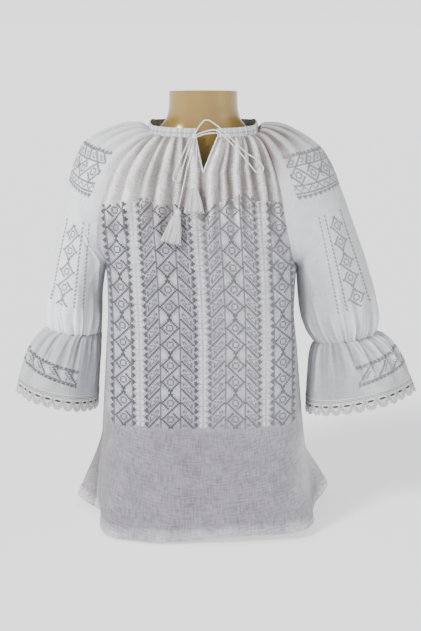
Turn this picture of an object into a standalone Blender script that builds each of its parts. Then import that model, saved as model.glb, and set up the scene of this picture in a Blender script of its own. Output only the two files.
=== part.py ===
"""A Romanian ie: a white blouse gathered onto a drawstring neckband, worn by a limbless dress form.

The tables are in millimetres and become metres where a mesh is made. +Z is up, the front faces -Y and +X is
the wearer's left. The origin is the middle of the dress form's flat base, level with the lowest hem.

Each piece of cloth is a grid of rows and columns. A base surface runs through rows worked out from the
tables, pleats and folds lift it along its own outward direction, and a wall of even depth lies inside it.
"""

import math

import bmesh
import bpy
import numpy as np
from mathutils import Vector
from mathutils.bvhtree import BVHTree

MM = 0.001

WALL = 1.5  # depth of the cloth wall
SEAM_GAP = 0.4  # between two pieces that are sewn together
LEFT, RIGHT = 1, -1  # the wearer's sides, as the sign of x

# Looks of the pieces: colour, roughness, metallic.
LINEN = ((0.80, 0.80, 0.82), 0.9, 0.0)
COTTON = ((0.84, 0.84, 0.86), 0.85, 0.0)
GOLD = ((0.56, 0.45, 0.24), 0.35, 0.0)

FRONT_SPANS = 24  # columns from the centre front to a seam, four for each pleat
BACK_SPANS = 20
SLEEVE_SPANS = 64  # columns round a sleeve, from its front seam to its back seam
FRONT_PLEATS = (1.0, 0.75, 1.25, 0.8, 1.15, 0.7)  # how high each one stands, from the slit to the seam
BACK_PLEATS = (0.8, 1.1, 0.9, 1.2, 0.8)
FRONT_WIDTHS = (1.2, 0.85, 1.15, 0.8, 1.2, 0.8)  # their shares of the width at the neck
BACK_WIDTHS = (1.1, 0.9, 1.2, 0.8, 1.0)
CAP_PLEATS = (0.8, 1.1, 0.9, 1.0, 1.2, 0.8, 1.1, 0.7)
ELBOW_PLEATS = (0.8, 1.1, 0.9, 1.2, 1.0, 0.8, 1.2, 1.0, 0.9, 1.1, 0.8, 1.2, 0.9, 1.0, 1.1, 0.8)
RUFFLE_WAVES = 8

SLIT_END_ROW = 3  # the front is open above this row
SLIT_HALF = {LEFT: 22.0, RIGHT: 11.0}  # half openings of the slit at the neck

HEM_DEPTH = 13.0  # turned hem
HEM_RAISE = 0.8

BAND_RISE = 1.4  # neckband's lower edge above the line it is sewn to, clear of the pleats' ends
BAND_HEIGHT = 13.0
BAND_WALL = 2.6
BAND_LEAN = 2.0  # how far its upper edge leans in towards the neck
BAND_INSIDE = 1.5  # it stands this far inside the sewn line
BAND_SPANS = 60
NECK_CENTRE = (0, 5, 0)

SCALLOPS = 28  # round one cuff
LACE_SPANS = 4  # columns in one scallop
LACE_END = 1.28  # the lace tips, in the ruffle table's share of depth
LACE_TOP = 1.008  # where it starts, just below the cloth's end
LACE_SEAM = 0.35  # each half stops this far from the line between them
SCALLOP_WIDTH = 17.0
SCALLOP_ROUND = 0.6  # how full a scallop's curve is
LACE_BAND = 0.10  # share of depth where the eyelets start, below the cloth's end at 1
LACE_EYE = 0.145  # where they end
LACE_NOTCH = 0.19  # where two scallops meet
LACE_WALL = 1.2


class Table:
    """Rows of sizes under named columns, each column joined smoothly from row to row."""

    def __init__(self, columns, rows):
        self.columns = columns.split()
        self.rows = np.array(rows, float)
        self.keys = self.rows[:, 0]
        if self.keys[0] > self.keys[-1]:
            self.rows = self.rows[::-1]
            self.keys = self.rows[:, 0]

    def at(self, key, *names):
        values = [self._one(key, name) for name in names]
        return values[0] if len(values) == 1 else np.array(values)

    def _one(self, key, name):
        ys = self.rows[:, self.columns.index(name)]
        xs = self.keys
        secants = np.diff(ys) / np.diff(xs)
        slopes = np.zeros(len(xs))
        slopes[0], slopes[-1] = secants[0], secants[-1]
        for k in range(1, len(xs) - 1):
            if secants[k - 1] * secants[k] > 0:
                slopes[k] = 2 * secants[k - 1] * secants[k] / (secants[k - 1] + secants[k])
        k = int(np.clip(np.searchsorted(xs, key) - 1, 0, len(xs) - 2))
        step = xs[k + 1] - xs[k]
        t = min(max((key - xs[k]) / step, 0.0), 1.0)
        rise = (1 + 2 * t) * (1 - t) ** 2 * ys[k] + t * t * (3 - 2 * t) * ys[k + 1]
        return rise + t * (1 - t) * step * ((1 - t) * slopes[k] - t * slopes[k + 1])


# The armhole of each side, from the neck (share 0) to the underarm (1): the ridge over the shoulder, the
# front seam and the back seam. arch is how far the cloth runs level from the ridge before it falls away,
# and out, fore and up lead it into the front seam (into the back seam with fore turned round).
ARMHOLE_COLUMNS = (
    "share ridge_x ridge_y ridge_z front_x front_y front_z back_x back_y back_z arch out fore up"
)
ARMHOLE = {
    LEFT: Table(
        ARMHOLE_COLUMNS,
        [
            (0.00, 88, 5, 648, 81, -41, 639, 82, 36, 649, 19, 6, -4, 2),
            (0.07, 99, 5, 656, 90, -47, 632, 90, 45, 642, 23, 7, -7, 6),
            (0.18, 121, 5, 654, 101, -56, 615, 101, 56, 624, 32, 11, -10, 14),
            (0.32, 152, 5, 643, 112, -68, 588, 112, 68, 594, 44, 22, -14, 24),
            (0.48, 187, 5, 620, 121, -81, 550, 122, 78, 556, 58, 33, -16, 32),
            (0.64, 207, 4, 591, 128, -86, 508, 131, 82, 513, 76, 40, -10, 36),
            (0.80, 220, 2, 558, 136, -75, 468, 139, 72, 471, 94, 34, -18, 30),
            (0.92, 230, 2, 534, 144, -44, 441, 146, 43, 442, 107, 26, -60, 22),
            (1.00, 236, 1, 518, 151, 0, 430, 151, 0, 430, 114, 0, -114, 0),
        ],
    ),
    RIGHT: Table(
        ARMHOLE_COLUMNS,
        [
            (0.00, 88, 5, 648, 81, -41, 639, 82, 36, 649, 19, 6, -4, 2),
            (0.07, 101, 5, 656, 93, -46, 633, 90, 45, 642, 23, 7, -7, 6),
            (0.18, 123, 5, 655, 112, -53, 618, 102, 56, 624, 32, 10, -10, 12),
            (0.32, 155, 5, 646, 134, -62, 594, 114, 68, 594, 44, 18, -12, 20),
            (0.48, 188, 5, 629, 151, -72, 556, 125, 78, 556, 58, 26, -14, 28),
            (0.64, 204, 4, 602, 163, -77, 514, 135, 82, 513, 76, 26, -14, 34),
            (0.80, 214, 2, 570, 167, -69, 472, 146, 72, 471, 94, 22, -28, 32),
            (0.92, 221, 2, 544, 156, -41, 442, 153, 43, 442, 107, 22, -60, 23),
            (1.00, 226, 1, 522, 158, 0, 430, 158, 0, 430, 114, 0, -114, 0),
        ],
    ),
}

# The sleeve below the underarm (share 1) down to the gathered elbow (2), as leaning ovals: the outermost
# and innermost points, and how far the front and back stand from the middle.
ARM_COLUMNS = "share outer_x outer_z inner_x inner_z mid_y half"
ARM = {
    LEFT: Table(
        ARM_COLUMNS,
        [
            (1.00, 236, 518, 151, 430, 0, 86),
            (1.20, 252, 474, 153, 404, -1, 84),
            (1.40, 268, 426, 155, 378, -2, 80),
            (1.60, 279, 380, 159, 350, -4, 73),
            (1.80, 282, 344, 168, 325, -6, 61),
            (1.92, 279, 327, 178, 311, -7, 49),
            (2.00, 274, 317, 187, 303, -8, 42),
        ],
    ),
    RIGHT: Table(
        ARM_COLUMNS,
        [
            (1.00, 226, 522, 158, 430, 0, 86),
            (1.20, 239, 470, 163, 406, 0, 84),
            (1.40, 245, 426, 166, 382, -1, 80),
            (1.60, 249, 386, 167, 358, -1, 72),
            (1.80, 250, 352, 169, 336, -2, 60),
            (1.92, 250, 334, 170, 325, -3, 48),
            (2.00, 249, 324, 171, 318, -3, 41),
        ],
    ),
}

# The ruffle below the elbow, from its gathers (share 0) to where the lace starts (1) and the lace tips.
RUFFLE = {
    LEFT: Table(
        ARM_COLUMNS,
        [
            (0.00, 274, 316, 187, 302, -8, 42),
            (0.12, 290, 312, 180, 296, -9, 50),
            (0.30, 307, 300, 175, 281, -10, 62),
            (0.60, 326, 275, 172, 250, -12, 72),
            (1.00, 338, 250, 170, 213, -14, 79),
            (1.28, 347, 226, 170, 186, -16, 83),
        ],
    ),
    RIGHT: Table(
        ARM_COLUMNS,
        [
            (0.00, 249, 323, 171, 317, -3, 41),
            (0.12, 263, 317, 170, 309, -4, 50),
            (0.30, 276, 303, 170, 293, -6, 60),
            (0.60, 290, 278, 172, 260, -9, 70),
            (1.00, 300, 250, 174, 221, -12, 77),
            (1.28, 306, 225, 176, 194, -13, 82),
        ],
    ),
}

# The centre front and the centre back between the neck (share 0) and the underarm (1). spread is how far a
# row runs straight from the centre, as a share of its width, and out and fore lead it into the seam.
YOKE_COLUMNS = "share mid_y mid_z spread out fore up"
FRONT_YOKE = Table(
    YOKE_COLUMNS,
    [
        (0.00, -68, 635, 0.52, -14, -17, -2),
        (0.07, -75, 623, 0.50, -16, -16, -2),
        (0.18, -83, 602, 0.48, -19, -15, -2),
        (0.32, -92, 573, 0.44, -27, -14, -2),
        (0.48, -103, 537, 0.42, -34, -12, 0),
        (0.64, -111, 500, 0.44, -34, -15, 0),
        (0.80, -117, 464, 0.52, -22, -30, 0),
        (0.92, -120, 443, 0.62, -12, -60, 0),
        (1.00, -122, 430, 0.74, 0, -94, 0),
    ],
)
BACK_YOKE = Table(
    YOKE_COLUMNS,
    [
        (0.00, 62, 651, 0.50, -3, 18, 0),
        (0.07, 68, 643, 0.50, -6, 17, 0),
        (0.18, 77, 622, 0.48, -16, 16, 0),
        (0.32, 87, 590, 0.44, -27, 13, 0),
        (0.48, 95, 552, 0.42, -34, 11, 0),
        (0.64, 100, 511, 0.43, -34, 12, 0),
        (0.80, 102, 470, 0.47, -26, 20, 0),
        (0.92, 102, 446, 0.54, -17, 41, 0),
        (1.00, 102, 430, 0.66, 0, 67, 0),
    ],
)

# The body below the underarm: half widths, depths from the middle, where the side seam lies, and how square
# the front and back are.
BODY = Table(
    "height half_left half_right front back side_y square_front square_back",
    [
        (430, 151, 158, 122, 102, 0, 0.74, 0.66),
        (400, 149, 156, 124.5, 101, 0, 0.76, 0.66),
        (360, 148, 156, 126, 99, 1, 0.78, 0.66),
        (295, 154, 160, 125, 98, 2, 0.79, 0.65),
        (200, 162, 166, 125, 106, 4, 0.80, 0.64),
        (131, 170, 170, 127, 114, 6, 0.82, 0.63),
        (97, 176, 172, 129, 119, 8, 0.84, 0.62),
        (50, 183, 174, 132, 126, 10, 0.86, 0.62),
        (4, 188, 175, 135, 132, 10, 0.88, 0.62),
    ],
)
HEM_Z = 4.0
HEM_LIFT_FROM = 130.0  # the hem's uneven level fades out at this height
# How far the hem rides up from the centre front (place 0) past the side seam (1) to the centre back (2).
HEM_LIFT = {
    LEFT: Table(
        "place lift",
        [(0, 4), (0.1, 7), (0.25, 9), (0.7, 10), (1.0, 17), (1.2, 26), (1.5, 20), (2, 8)],
    ),
    RIGHT: Table(
        "place lift",
        [(0, 4), (0.12, 1), (0.3, 0), (0.7, 0), (1.0, 6), (1.2, 10), (1.5, 10), (2, 8)],
    ),
}

# Soft folds that hang to the hem. place runs from the centre front (0) to the side seam (1) and the centre
# back (2) on each side; height is at the hem, negative for a trough, and each fades out at its top.
FOLD_COLUMNS = ("side", "place", "height", "half_width", "top")
FOLDS = (
    (RIGHT, 1.22, 62.0, 0.30, 175),
    (RIGHT, 0.86, -7.0, 0.13, 165),
    (RIGHT, 1.50, -10.0, 0.16, 200),
    (RIGHT, 1.72, 9.0, 0.14, 330),
    (LEFT, 1.24, 46.0, 0.30, 135),
    (LEFT, 0.84, -6.0, 0.14, 150),
    (LEFT, 1.52, -9.0, 0.16, 190),
    (LEFT, 1.76, 8.0, 0.15, 340),
    (RIGHT, 0.24, 3.0, 0.16, 230),
    (RIGHT, 0.55, 3.0, 0.12, 150),
    (LEFT, 0.30, -3.0, 0.18, 210),
    (LEFT, 0.55, 3.0, 0.12, 140),
)

PLEAT_DROP = 175.0  # how far below the underarm the pleat table's share reaches 2
# How high the pleats stand below the neckband, by share of the armhole.
NECK_PLEAT = Table(
    "share front back cap",
    [
        (0.00, 1.8, 1.6, 1.4),
        (0.07, 4.0, 3.2, 2.8),
        (0.18, 6.2, 4.6, 4.0),
        (0.32, 6.6, 4.8, 3.2),
        (0.48, 5.4, 3.6, 1.4),
        (0.64, 3.8, 2.4, 0.0),
        (0.80, 2.3, 1.4, 0.0),
        (0.92, 1.4, 0.8, 0.0),
        (1.00, 1.0, 0.6, 0.0),
        (1.20, 0.4, 0.2, 0.0),
        (1.40, 0.0, 0.0, 0.0),
    ],
)
ELBOW_PLEAT = Table(
    "share height",
    [(1.40, 0.0), (1.60, 2.6), (1.80, 5.8), (1.92, 4.8), (2.00, 1.8)],
)
RUFFLE_PLEAT = Table(
    "share height",
    [(0.00, 1.8), (0.12, 4.8), (0.30, 6.0), (0.60, 3.2), (1.00, 0.0)],
)
RUFFLE_WAVE = Table("share height", [(0.00, 0.0), (0.30, 0.6), (0.60, 2.6), (1.00, 4.0), (1.28, 4.4)])

CORD = 2.2  # the drawstring's diameter
CORD_CLEAR = 0.1  # between the drawstring and the cloth it lies on
CORD_AIR_Y = -70.5  # how far forward it stands where there is no cloth behind it
CORD_SPAN = 14  # how many steps along it the pleats' crests carry it
CORD_BEND = 16  # how many steps its ends take to turn to what they go into
CORD_TOLERANCE = 0.5  # how closely its points follow the smooth line

# The knot in front of the slit, and the routes of the drawstring as seen from the front (x, z).
KNOT = (-13.0, -74.8, 637.0)
KNOT_RADII = (4.6, 4.0, 5.6)
ROUTES = {
    "cord_loop_left": (
        (-9.8, 642.8), (-6, 652), (0.5, 660), (8, 661.5), (17, 656.5), (28, 648), (41, 636), (55, 622.5),
        (67, 612), (78, 605), (88, 597), (92.5, 589), (89, 583), (81.5, 583.5), (74, 591), (64, 604),
        (51, 618.5), (38, 631.5), (27, 641.8), (19, 646.4), (9, 645.8), (-7.0, 641.4),
    ),
    "cord_loop_right": (
        (-18.6, 637.5), (-23.5, 627), (-30, 612), (-37, 597), (-43, 584), (-45.5, 575), (-42.5, 569.5),
        (-37, 570), (-34, 576), (-32, 587), (-27, 603), (-21.5, 618), (-17.4, 631.4),
    ),
    "cord_tail_long": (
        (-14.0, 630.2), (-15.4, 619), (-19, 606), (-24, 590), (-28.5, 570), (-33, 548), (-36.5, 531),
    ),
    "cord_tail_short": ((-10.6, 630.6), (-9.8, 618), (-10.2, 600), (-11.4, 584), (-12.6, 570.5)),
}
# The cord that crosses the slit from the neckband to the knot.
BRIDGE = ((20.2, -66.8, 642.0), (13, -68.9, 641.8), (3, -71.5, 640.4), (-7.2, -73.2, 637.4))
END_GAP = 0.5  # between a cord's end and its tassel
KNOT_GAP = 0.85  # between a cord's end and the knot
# Where each cord goes into the knot, as directions from its centre.
KNOT_ENTRIES = {
    "cord_loop_left": ((0.25, 0.10, 0.96), (0.80, -0.20, 0.56)),
    "cord_loop_right": ((-0.92, 0.0, -0.38), (-0.55, -0.10, -0.83)),
    "cord_tail_long": ((-0.08, -0.55, -0.84),),
    "cord_tail_short": ((0.48, -0.15, -0.87),),
    "cord_bridge": ((0.98, 0.15, 0.02),),
}

# The tassels: top and bottom of each as seen from the front, and its half width and depth at the bottom.
TASSELS = {
    "tassel_long": ((-37.0, 529.0), (-49.0, 477.0), 16.0, 8.0),
    "tassel_short": ((-12.8, 568.5), (-13.6, 522.0), 16.0, 8.0),
}
TASSEL_OF = {"cord_tail_long": "tassel_long", "cord_tail_short": "tassel_short"}
STRANDS = 12
TASSEL_HEAD = 5.0  # radius
TASSEL_NECK = 3.6
TASSEL_RINGS = ((1.8, 3.6), (5.0, TASSEL_HEAD), (8.6, TASSEL_NECK))  # distance below the top and radius
TASSEL_CORE = 9.4  # how far below the top the strands start
TASSEL_FLOOR = 9.8
STRAND_CUTS = (0.94, 0.06)  # how long the strands are cut, and by how much that varies
STRAND_FLARES = ((0.45, 0.70), (1.0, 1.0))  # share of a strand's length, share of the tassel's width
STRAND_CORNERS = ((0.06, 1.0), (0.94, 1.0), (0.94, 0.58), (0.06, 0.58))  # shares of its sector and radius
TASSEL_CLEAR = 0.4  # between a tassel and the cloth

YOKE_ROWS = (0.0, 0.07, 0.17, 0.28, 0.45, 0.63, 0.80, 0.92, 1.0)
BODY_ROWS = (395, 345, 285, 220, 160, 115, 75, 40)  # heights, above the turned hem
ARM_ROWS = (1.12, 1.30, 1.50, 1.68, 1.85, 2.0)
RUFFLE_ROWS = (0.0, 0.14, 0.34, 0.66, 1.0)

# The dress form, bottom to top: half width, depth of the front and back, and roundness (2 is an oval).
FORM = (
    (0, 150, 96, 98, 2.3),
    (70, 149, 96, 98, 2.3),
    (150, 132, 87, 82, 2.3),
    (235, 111, 80, 70, 2.2),
    (310, 121, 91, 78, 2.2),
    (370, 136, 111, 87, 2.4),
    (415, 140, 121, 90, 2.4),
    (460, 142, 112, 92, 2.4),
    (520, 148, 92, 92, 2.4),
    (570, 157, 75, 86, 2.4),
    (600, 163, 62, 76, 2.3),
    (618, 160, 55, 67, 2.2),
    (630, 142, 50, 61, 2.1),
    (639, 112, 48, 57, 2.0),
    (646, 82, 47, 55, 2.0),
    (656, 66, 47, 54, 2.0),
    (668, 58, 47, 54, 2.0),
    (686, 55, 49, 55, 2.0),
    (707, 54.5, 49, 56, 2.0),
)
FORM_SPANS = 22


# ---------------------------------------------------------------- lines


def unit(vectors):
    return vectors / np.maximum(np.linalg.norm(vectors, axis=-1, keepdims=True), 1e-9)


def bow(start, lead, arrive, end, places):
    """A smooth line from start to end, setting off along lead and coming in along -arrive."""
    t = np.linspace(0, 1, 81)[:, None]
    line = (1 - t) ** 3 * start + 3 * (1 - t) ** 2 * t * (start + lead)
    line = line + 3 * (1 - t) * t**2 * (end + arrive) + t**3 * end
    return placed(line, places)


def placed(line, places):
    """Points at the given shares of a line's length, or at that many equal spans of it."""
    if np.isscalar(places):
        places = np.linspace(0, 1, places + 1)
    lengths = np.r_[0, np.cumsum(np.linalg.norm(np.diff(line, axis=0), axis=1))]
    wanted = np.asarray(places) * lengths[-1]
    return np.column_stack([np.interp(wanted, lengths, line[:, k]) for k in range(3)])


def pleat_places(widths, spans, share):
    """Where a row's columns lie: by the pleats' own widths at the neck, evening out below."""
    edges = np.r_[0, np.cumsum(widths)] / sum(widths)
    even = np.linspace(0, 1, spans + 1)
    uneven = np.interp(even, np.linspace(0, 1, len(edges)), edges)
    return uneven + (even - uneven) * smooth(share)


def smooth(t):
    t = min(max(t, 0.0), 1.0)
    return t * t * (3 - 2 * t)


# ---------------------------------------------------------------- base surfaces


def seam_points(side, share):
    """The shoulder ridge, front seam and back seam of one armhole."""
    t = ARMHOLE[side]
    points = [t.at(share, n + "_x", n + "_y", n + "_z") for n in ("ridge", "front", "back")]
    for p in points:
        p[0] *= side
    return points


def yoke_row(yoke, which, side, share, places, slit=0.0):
    """From the centre to an armhole's seam, above the underarm. which is 1 for the front seam, 2 the back."""
    mid_y, mid_z, spread, out, fore, up = yoke.at(share, "mid_y", "mid_z", "spread", "out", "fore", "up")
    start = np.array([side * slit, mid_y, mid_z])
    end = seam_points(side, share)[which]
    lead = np.array([spread * (end[0] - start[0]), 0, 0])
    return bow(start, lead, np.array([side * out, fore, up]), end, places)


def body_row(side, height, spans, face):
    """From the centre to the side seam, below the underarm. face is -1 for the front and 1 for the back."""
    half = BODY.at(height, "half_left" if side == LEFT else "half_right")
    depth = BODY.at(height, "front" if face < 0 else "back")
    square = BODY.at(height, "square_front" if face < 0 else "square_back")
    side_y = BODY.at(height, "side_y")
    start = np.array([0, face * depth, height])
    end = np.array([side * half, side_y, height])
    reach = square * (face * depth - side_y)
    row = bow(start, np.array([side * square * half, 0, 0]), np.array([0, reach, 0]), end, spans)
    fade = smooth((HEM_LIFT_FROM - height) / (HEM_LIFT_FROM - HEM_Z))
    for k, point in enumerate(row):
        place = k / spans if face < 0 else 2 - k / spans
        point[2] += fade * HEM_LIFT[side].at(place, "lift")
    return row


def cap_row(side, share, spans):
    """Round the sleeve from its front seam over the shoulder to its back seam, above the underarm."""
    ridge, front, back = seam_points(side, share)
    arch, out, fore, up = ARMHOLE[side].at(share, "arch", "out", "fore", "up")
    first = bow(front, np.array([side * out, fore, up]), np.array([0, -arch, 0]), ridge, spans // 2)
    last = bow(ridge, np.array([0, arch, 0]), np.array([side * out, -fore, up]), back, spans // 2)
    return np.vstack([first, last[1:]])


def oval(table, side, share, spans):
    """A leaning oval from its innermost point round the front, the outside and the back."""
    out_x, out_z, in_x, in_z, mid_y, half = table.at(
        share, "outer_x", "outer_z", "inner_x", "inner_z", "mid_y", "half"
    )
    middle = np.array([side * (out_x + in_x) / 2, mid_y, (out_z + in_z) / 2])
    across = np.array([side * (out_x - in_x) / 2, 0, (out_z - in_z) / 2])
    turn = np.linspace(0, 2 * math.pi, 241)[:, None]
    line = middle - across * np.cos(turn) - np.array([0, half, 0]) * np.sin(turn)
    return placed(line, spans)


# ---------------------------------------------------------------- folds


def pleats(place, heights):
    """Rounded pleats side by side over place 0 to 1, each as high as its own share."""
    k = min(int(place * len(heights)), len(heights) - 1)
    return heights[k] * (0.5 - 0.5 * math.cos(2 * math.pi * place * len(heights)))


def hanging_folds(side, place, height):
    """How far the cloth of the body stands out at a place round it, from the folds that reach the hem."""
    total = 0.0
    for row in FOLDS:
        fold = dict(zip(FOLD_COLUMNS, row))
        if fold["side"] != side:
            continue
        across = abs(place - fold["place"]) / fold["half_width"]
        if across < 1:
            rise = max(0.0, (fold["top"] - height) / (fold["top"] - HEM_Z)) ** 1.2
            total += fold["height"] * rise * math.cos(across * math.pi / 2) ** 2
    return total


def towards_body(place):
    """1 on the outer side of a sleeve's ring and less where it faces the body."""
    return 1 - 0.75 * math.cos(math.pi * place) ** 4


# ---------------------------------------------------------------- patches


class Patch:
    """A grid of base points, the outward direction at each, and how far each is lifted."""

    def __init__(self, rows, outward):
        self.base = np.array(rows)
        down = np.gradient(self.base, axis=0)
        along = np.gradient(self.base, axis=1)
        self.normal = unit(np.cross(along, down))
        middle = self.base.reshape(-1, 3).mean(axis=0)
        if ((self.base - middle) * self.normal * np.array(outward)).sum() < 0:
            self.normal = -self.normal
        self.lift = np.zeros(self.base.shape[:2])
        self.wall = np.full(self.base.shape[:2], WALL)
        self.shift = np.zeros(self.base.shape)

    def outer(self):
        return self.base + self.shift + self.normal * self.lift[..., None]

    def inner(self):
        return self.outer() - self.normal * self.wall[..., None]


def sew_armhole(panel, sleeve, column, side):
    """Opens the seam between a panel and a sleeve by the seam's gap, across the seam's own line."""
    last = len(YOKE_ROWS) - 1
    line = panel.base[: last + 1, -1]
    along = np.gradient(line, axis=0)
    beside = 1 if column == 0 else -2
    for r in range(last):
        normal = unit(panel.normal[r, -1] + sleeve.normal[r, column])
        panel.normal[r, -1] = sleeve.normal[r, column] = normal
        across = unit(np.cross(along[r], normal))
        if across @ (sleeve.base[r, beside] - panel.base[r, -2]) < 0:
            across = -across
        panel.shift[r, -1] -= across * SEAM_GAP / 2
        sleeve.shift[r, column] += across * SEAM_GAP / 2
    panel.shift[last, -1, 0] -= side * SEAM_GAP / 2
    sleeve.shift[last, column, 0] = side * SEAM_GAP / 2


def share_normals(*edges):
    """Gives edges that are sewn together one outward direction. Each is (patch, rows, column)."""
    total = sum(patch.normal[rows, column] for patch, rows, column in edges)
    for patch, rows, column in edges:
        patch.normal[rows, column] = unit(total)


def body_heights():
    return (*BODY_ROWS, HEM_Z + HEM_DEPTH + 0.5, HEM_Z + HEM_DEPTH, HEM_Z)


def panel_patch(side, yoke, which, face, heights, widths, column):
    """Half of the front or of the back, from the neck to the hem and from the centre to the seam."""
    spans = FRONT_SPANS if face < 0 else BACK_SPANS
    rows = []
    for index, share in enumerate(YOKE_ROWS):
        open_by = 0.0
        if face < 0:
            open_by = SLIT_HALF[side] * max(0.0, 1 - slit_depth(share))
        rows.append(yoke_row(yoke, which, side, share, pleat_places(widths, spans, share), open_by))
    rows += [body_row(side, z, spans, face) for z in body_heights()]
    patch = Patch(rows, (1, 1, 0))
    for r in range(len(rows)):
        in_yoke = r < len(YOKE_ROWS)
        for c in range(spans + 1):
            place = c / spans
            if in_yoke:
                patch.lift[r, c] = NECK_PLEAT.at(YOKE_ROWS[r], column) * pleats(place, heights)
            else:
                z = body_heights()[r - len(YOKE_ROWS)]
                round_place = place if face < 0 else 2 - place
                patch.lift[r, c] = hanging_folds(side, round_place, z)
                below = 1 + (BODY.keys[-1] - z) / PLEAT_DROP
                patch.lift[r, c] += NECK_PLEAT.at(below, column) * pleats(place, heights)
    patch.lift[-2:] += HEM_RAISE
    patch.wall[-2:] += HEM_RAISE
    patch.normal[:, 0, 0] = 0
    patch.normal[:, 0] = unit(patch.normal[:, 0])
    return patch


def slit_depth(share):
    """How far down the slit a row lies, from 0 at the neck to 1 at the slit's end."""
    top, here, end = (FRONT_YOKE.at(s, "mid_z") for s in (0.0, share, YOKE_ROWS[SLIT_END_ROW]))
    return (top - here) / (top - end)


def sleeve_patch(side):
    rows = [cap_row(side, share, SLEEVE_SPANS) for share in YOKE_ROWS]
    rows += [oval(ARM[side], side, share, SLEEVE_SPANS) for share in ARM_ROWS]
    patch = Patch(rows, (1, 1, 1))
    for r, share in enumerate((*YOKE_ROWS, *ARM_ROWS)):
        for c in range(SLEEVE_SPANS + 1):
            place = c / SLEEVE_SPANS
            if share <= 1:
                patch.lift[r, c] = NECK_PLEAT.at(share, "cap") * pleats(place, CAP_PLEATS)
            else:
                height = ELBOW_PLEAT.at(share, "height") * towards_body(place)
                patch.lift[r, c] = height * pleats(place, ELBOW_PLEATS)
    return patch


def ruffle_point_lift(share, place):
    height = RUFFLE_PLEAT.at(share, "height") * pleats(place, ELBOW_PLEATS)
    wave = RUFFLE_WAVE.at(share, "height") * (0.5 - 0.5 * math.cos(2 * math.pi * RUFFLE_WAVES * place))
    return (height + wave) * towards_body(place)


def ruffle_patch(side, shares, spans):
    patch = Patch([oval(RUFFLE[side], side, share, spans) for share in shares], (1, 1, 0))
    for r, share in enumerate(shares):
        for c in range(spans + 1):
            patch.lift[r, c] = ruffle_point_lift(share, c / spans)
    return patch


# ---------------------------------------------------------------- solids


class Wall:
    """A closed wall: outer points, the inner point behind each, and the faces of the outer side."""

    def __init__(self):
        self.index, self.outer, self.inner, self.faces = {}, [], [], []

    def point(self, key, outer, inner):
        self.index[key] = len(self.outer)
        self.outer.append(outer)
        self.inner.append(inner)

    def face(self, *keys):
        corners = [self.index[k] for k in keys]
        self.faces.append([c for n, c in enumerate(corners) if c not in corners[:n]])

    def strip(self, upper, lower):
        """The faces between two rows of keys, where one row may have twice as many spans as the other."""
        if len(upper) == len(lower):
            for k in range(len(upper) - 1):
                self.face(upper[k], upper[k + 1], lower[k + 1], lower[k])
            return
        fine, coarse = (upper, lower) if len(upper) > len(lower) else (lower, upper)
        for k in range(len(coarse) - 1):
            a, b, c = fine[2 * k : 2 * k + 3]
            self.face(a, b, coarse[k])
            self.face(b, c, coarse[k + 1])
            self.face(b, coarse[k + 1], coarse[k])

    def make(self, name, material):
        """The object: both sides of the wall, joined along every open edge."""
        mesh = bmesh.new()
        outer = [mesh.verts.new(np.asarray(p) * MM) for p in self.outer]
        inner = [mesh.verts.new(np.asarray(p) * MM) for p in self.inner]
        sides = {}
        for face in self.faces:
            mesh.faces.new([outer[k] for k in face])
            mesh.faces.new([inner[k] for k in reversed(face)])
            for a, b in zip(face, face[1:] + face[:1]):
                key = (min(a, b), max(a, b))
                sides[key] = None if key in sides else (a, b)
        for edge in filter(None, sides.values()):
            a, b = edge
            mesh.faces.new([outer[b], outer[a], inner[a], inner[b]])
        return finish_mesh(mesh, name, material)


def finish_mesh(mesh, name, material):
    """Turns a bmesh in metres into a named object with its faces pointing out."""
    bmesh.ops.remove_doubles(mesh, verts=mesh.verts, dist=1e-7)
    bmesh.ops.triangulate(mesh, faces=[f for f in mesh.faces if len(f.verts) > 3])
    bmesh.ops.recalc_face_normals(mesh, faces=mesh.faces)
    data = bpy.data.meshes.new(name)
    mesh.to_mesh(data)
    mesh.free()
    data.materials.append(material)
    data.shade_smooth()
    data.set_sharp_from_angle(angle=math.radians(50))
    made = bpy.data.objects.new(name, data)
    bpy.context.scene.collection.objects.link(made)
    return made


def add_grid(wall, outer, inner, strides, key):
    """Adds a patch's points and faces. strides says which columns a row keeps, and key names a point."""
    rows = []
    for r in range(len(outer)):
        keys = []
        for c in range(0, outer.shape[1], strides[r]):
            name = key(r, c)
            if name not in wall.index:
                wall.point(name, outer[r, c], inner[r, c])
            keys.append(name)
        rows.append(keys)
    for upper, lower in zip(rows, rows[1:]):
        wall.strip(upper, lower)


def make_panel(name, halves, open_rows, material):
    """The front or back: two halves that share their centre column below the slit."""
    wall = Wall()
    for tag, patch in halves.items():
        rows = len(patch.base)
        fine = len(YOKE_ROWS) - 1
        strides = [1 if r < fine else 2 for r in range(rows)]

        def key(r, c, tag=tag):
            return ("centre", r) if c == 0 and r >= open_rows else (tag, r, c)

        add_grid(wall, patch.outer(), patch.inner(), strides, key)
    return wall.make(name, material)


def make_tube(name, patch, strides, closed_from, material):
    """A sleeve or ruffle: its rows close into rings from closed_from down."""
    wall = Wall()
    last = patch.base.shape[1] - 1

    def key(r, c):
        return (r, 0 if c == last and r >= closed_from else c)

    add_grid(wall, patch.outer(), patch.inner(), strides, key)
    return wall.make(name, material)


def lace_surface(side):
    """The surface that the lace of one cuff follows, on past the cloth's end."""
    shares = np.linspace(1.0, LACE_END, 4)
    patch = ruffle_patch(side, shares, SCALLOPS * LACE_SPANS)
    return shares, patch.outer(), patch.normal


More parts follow.
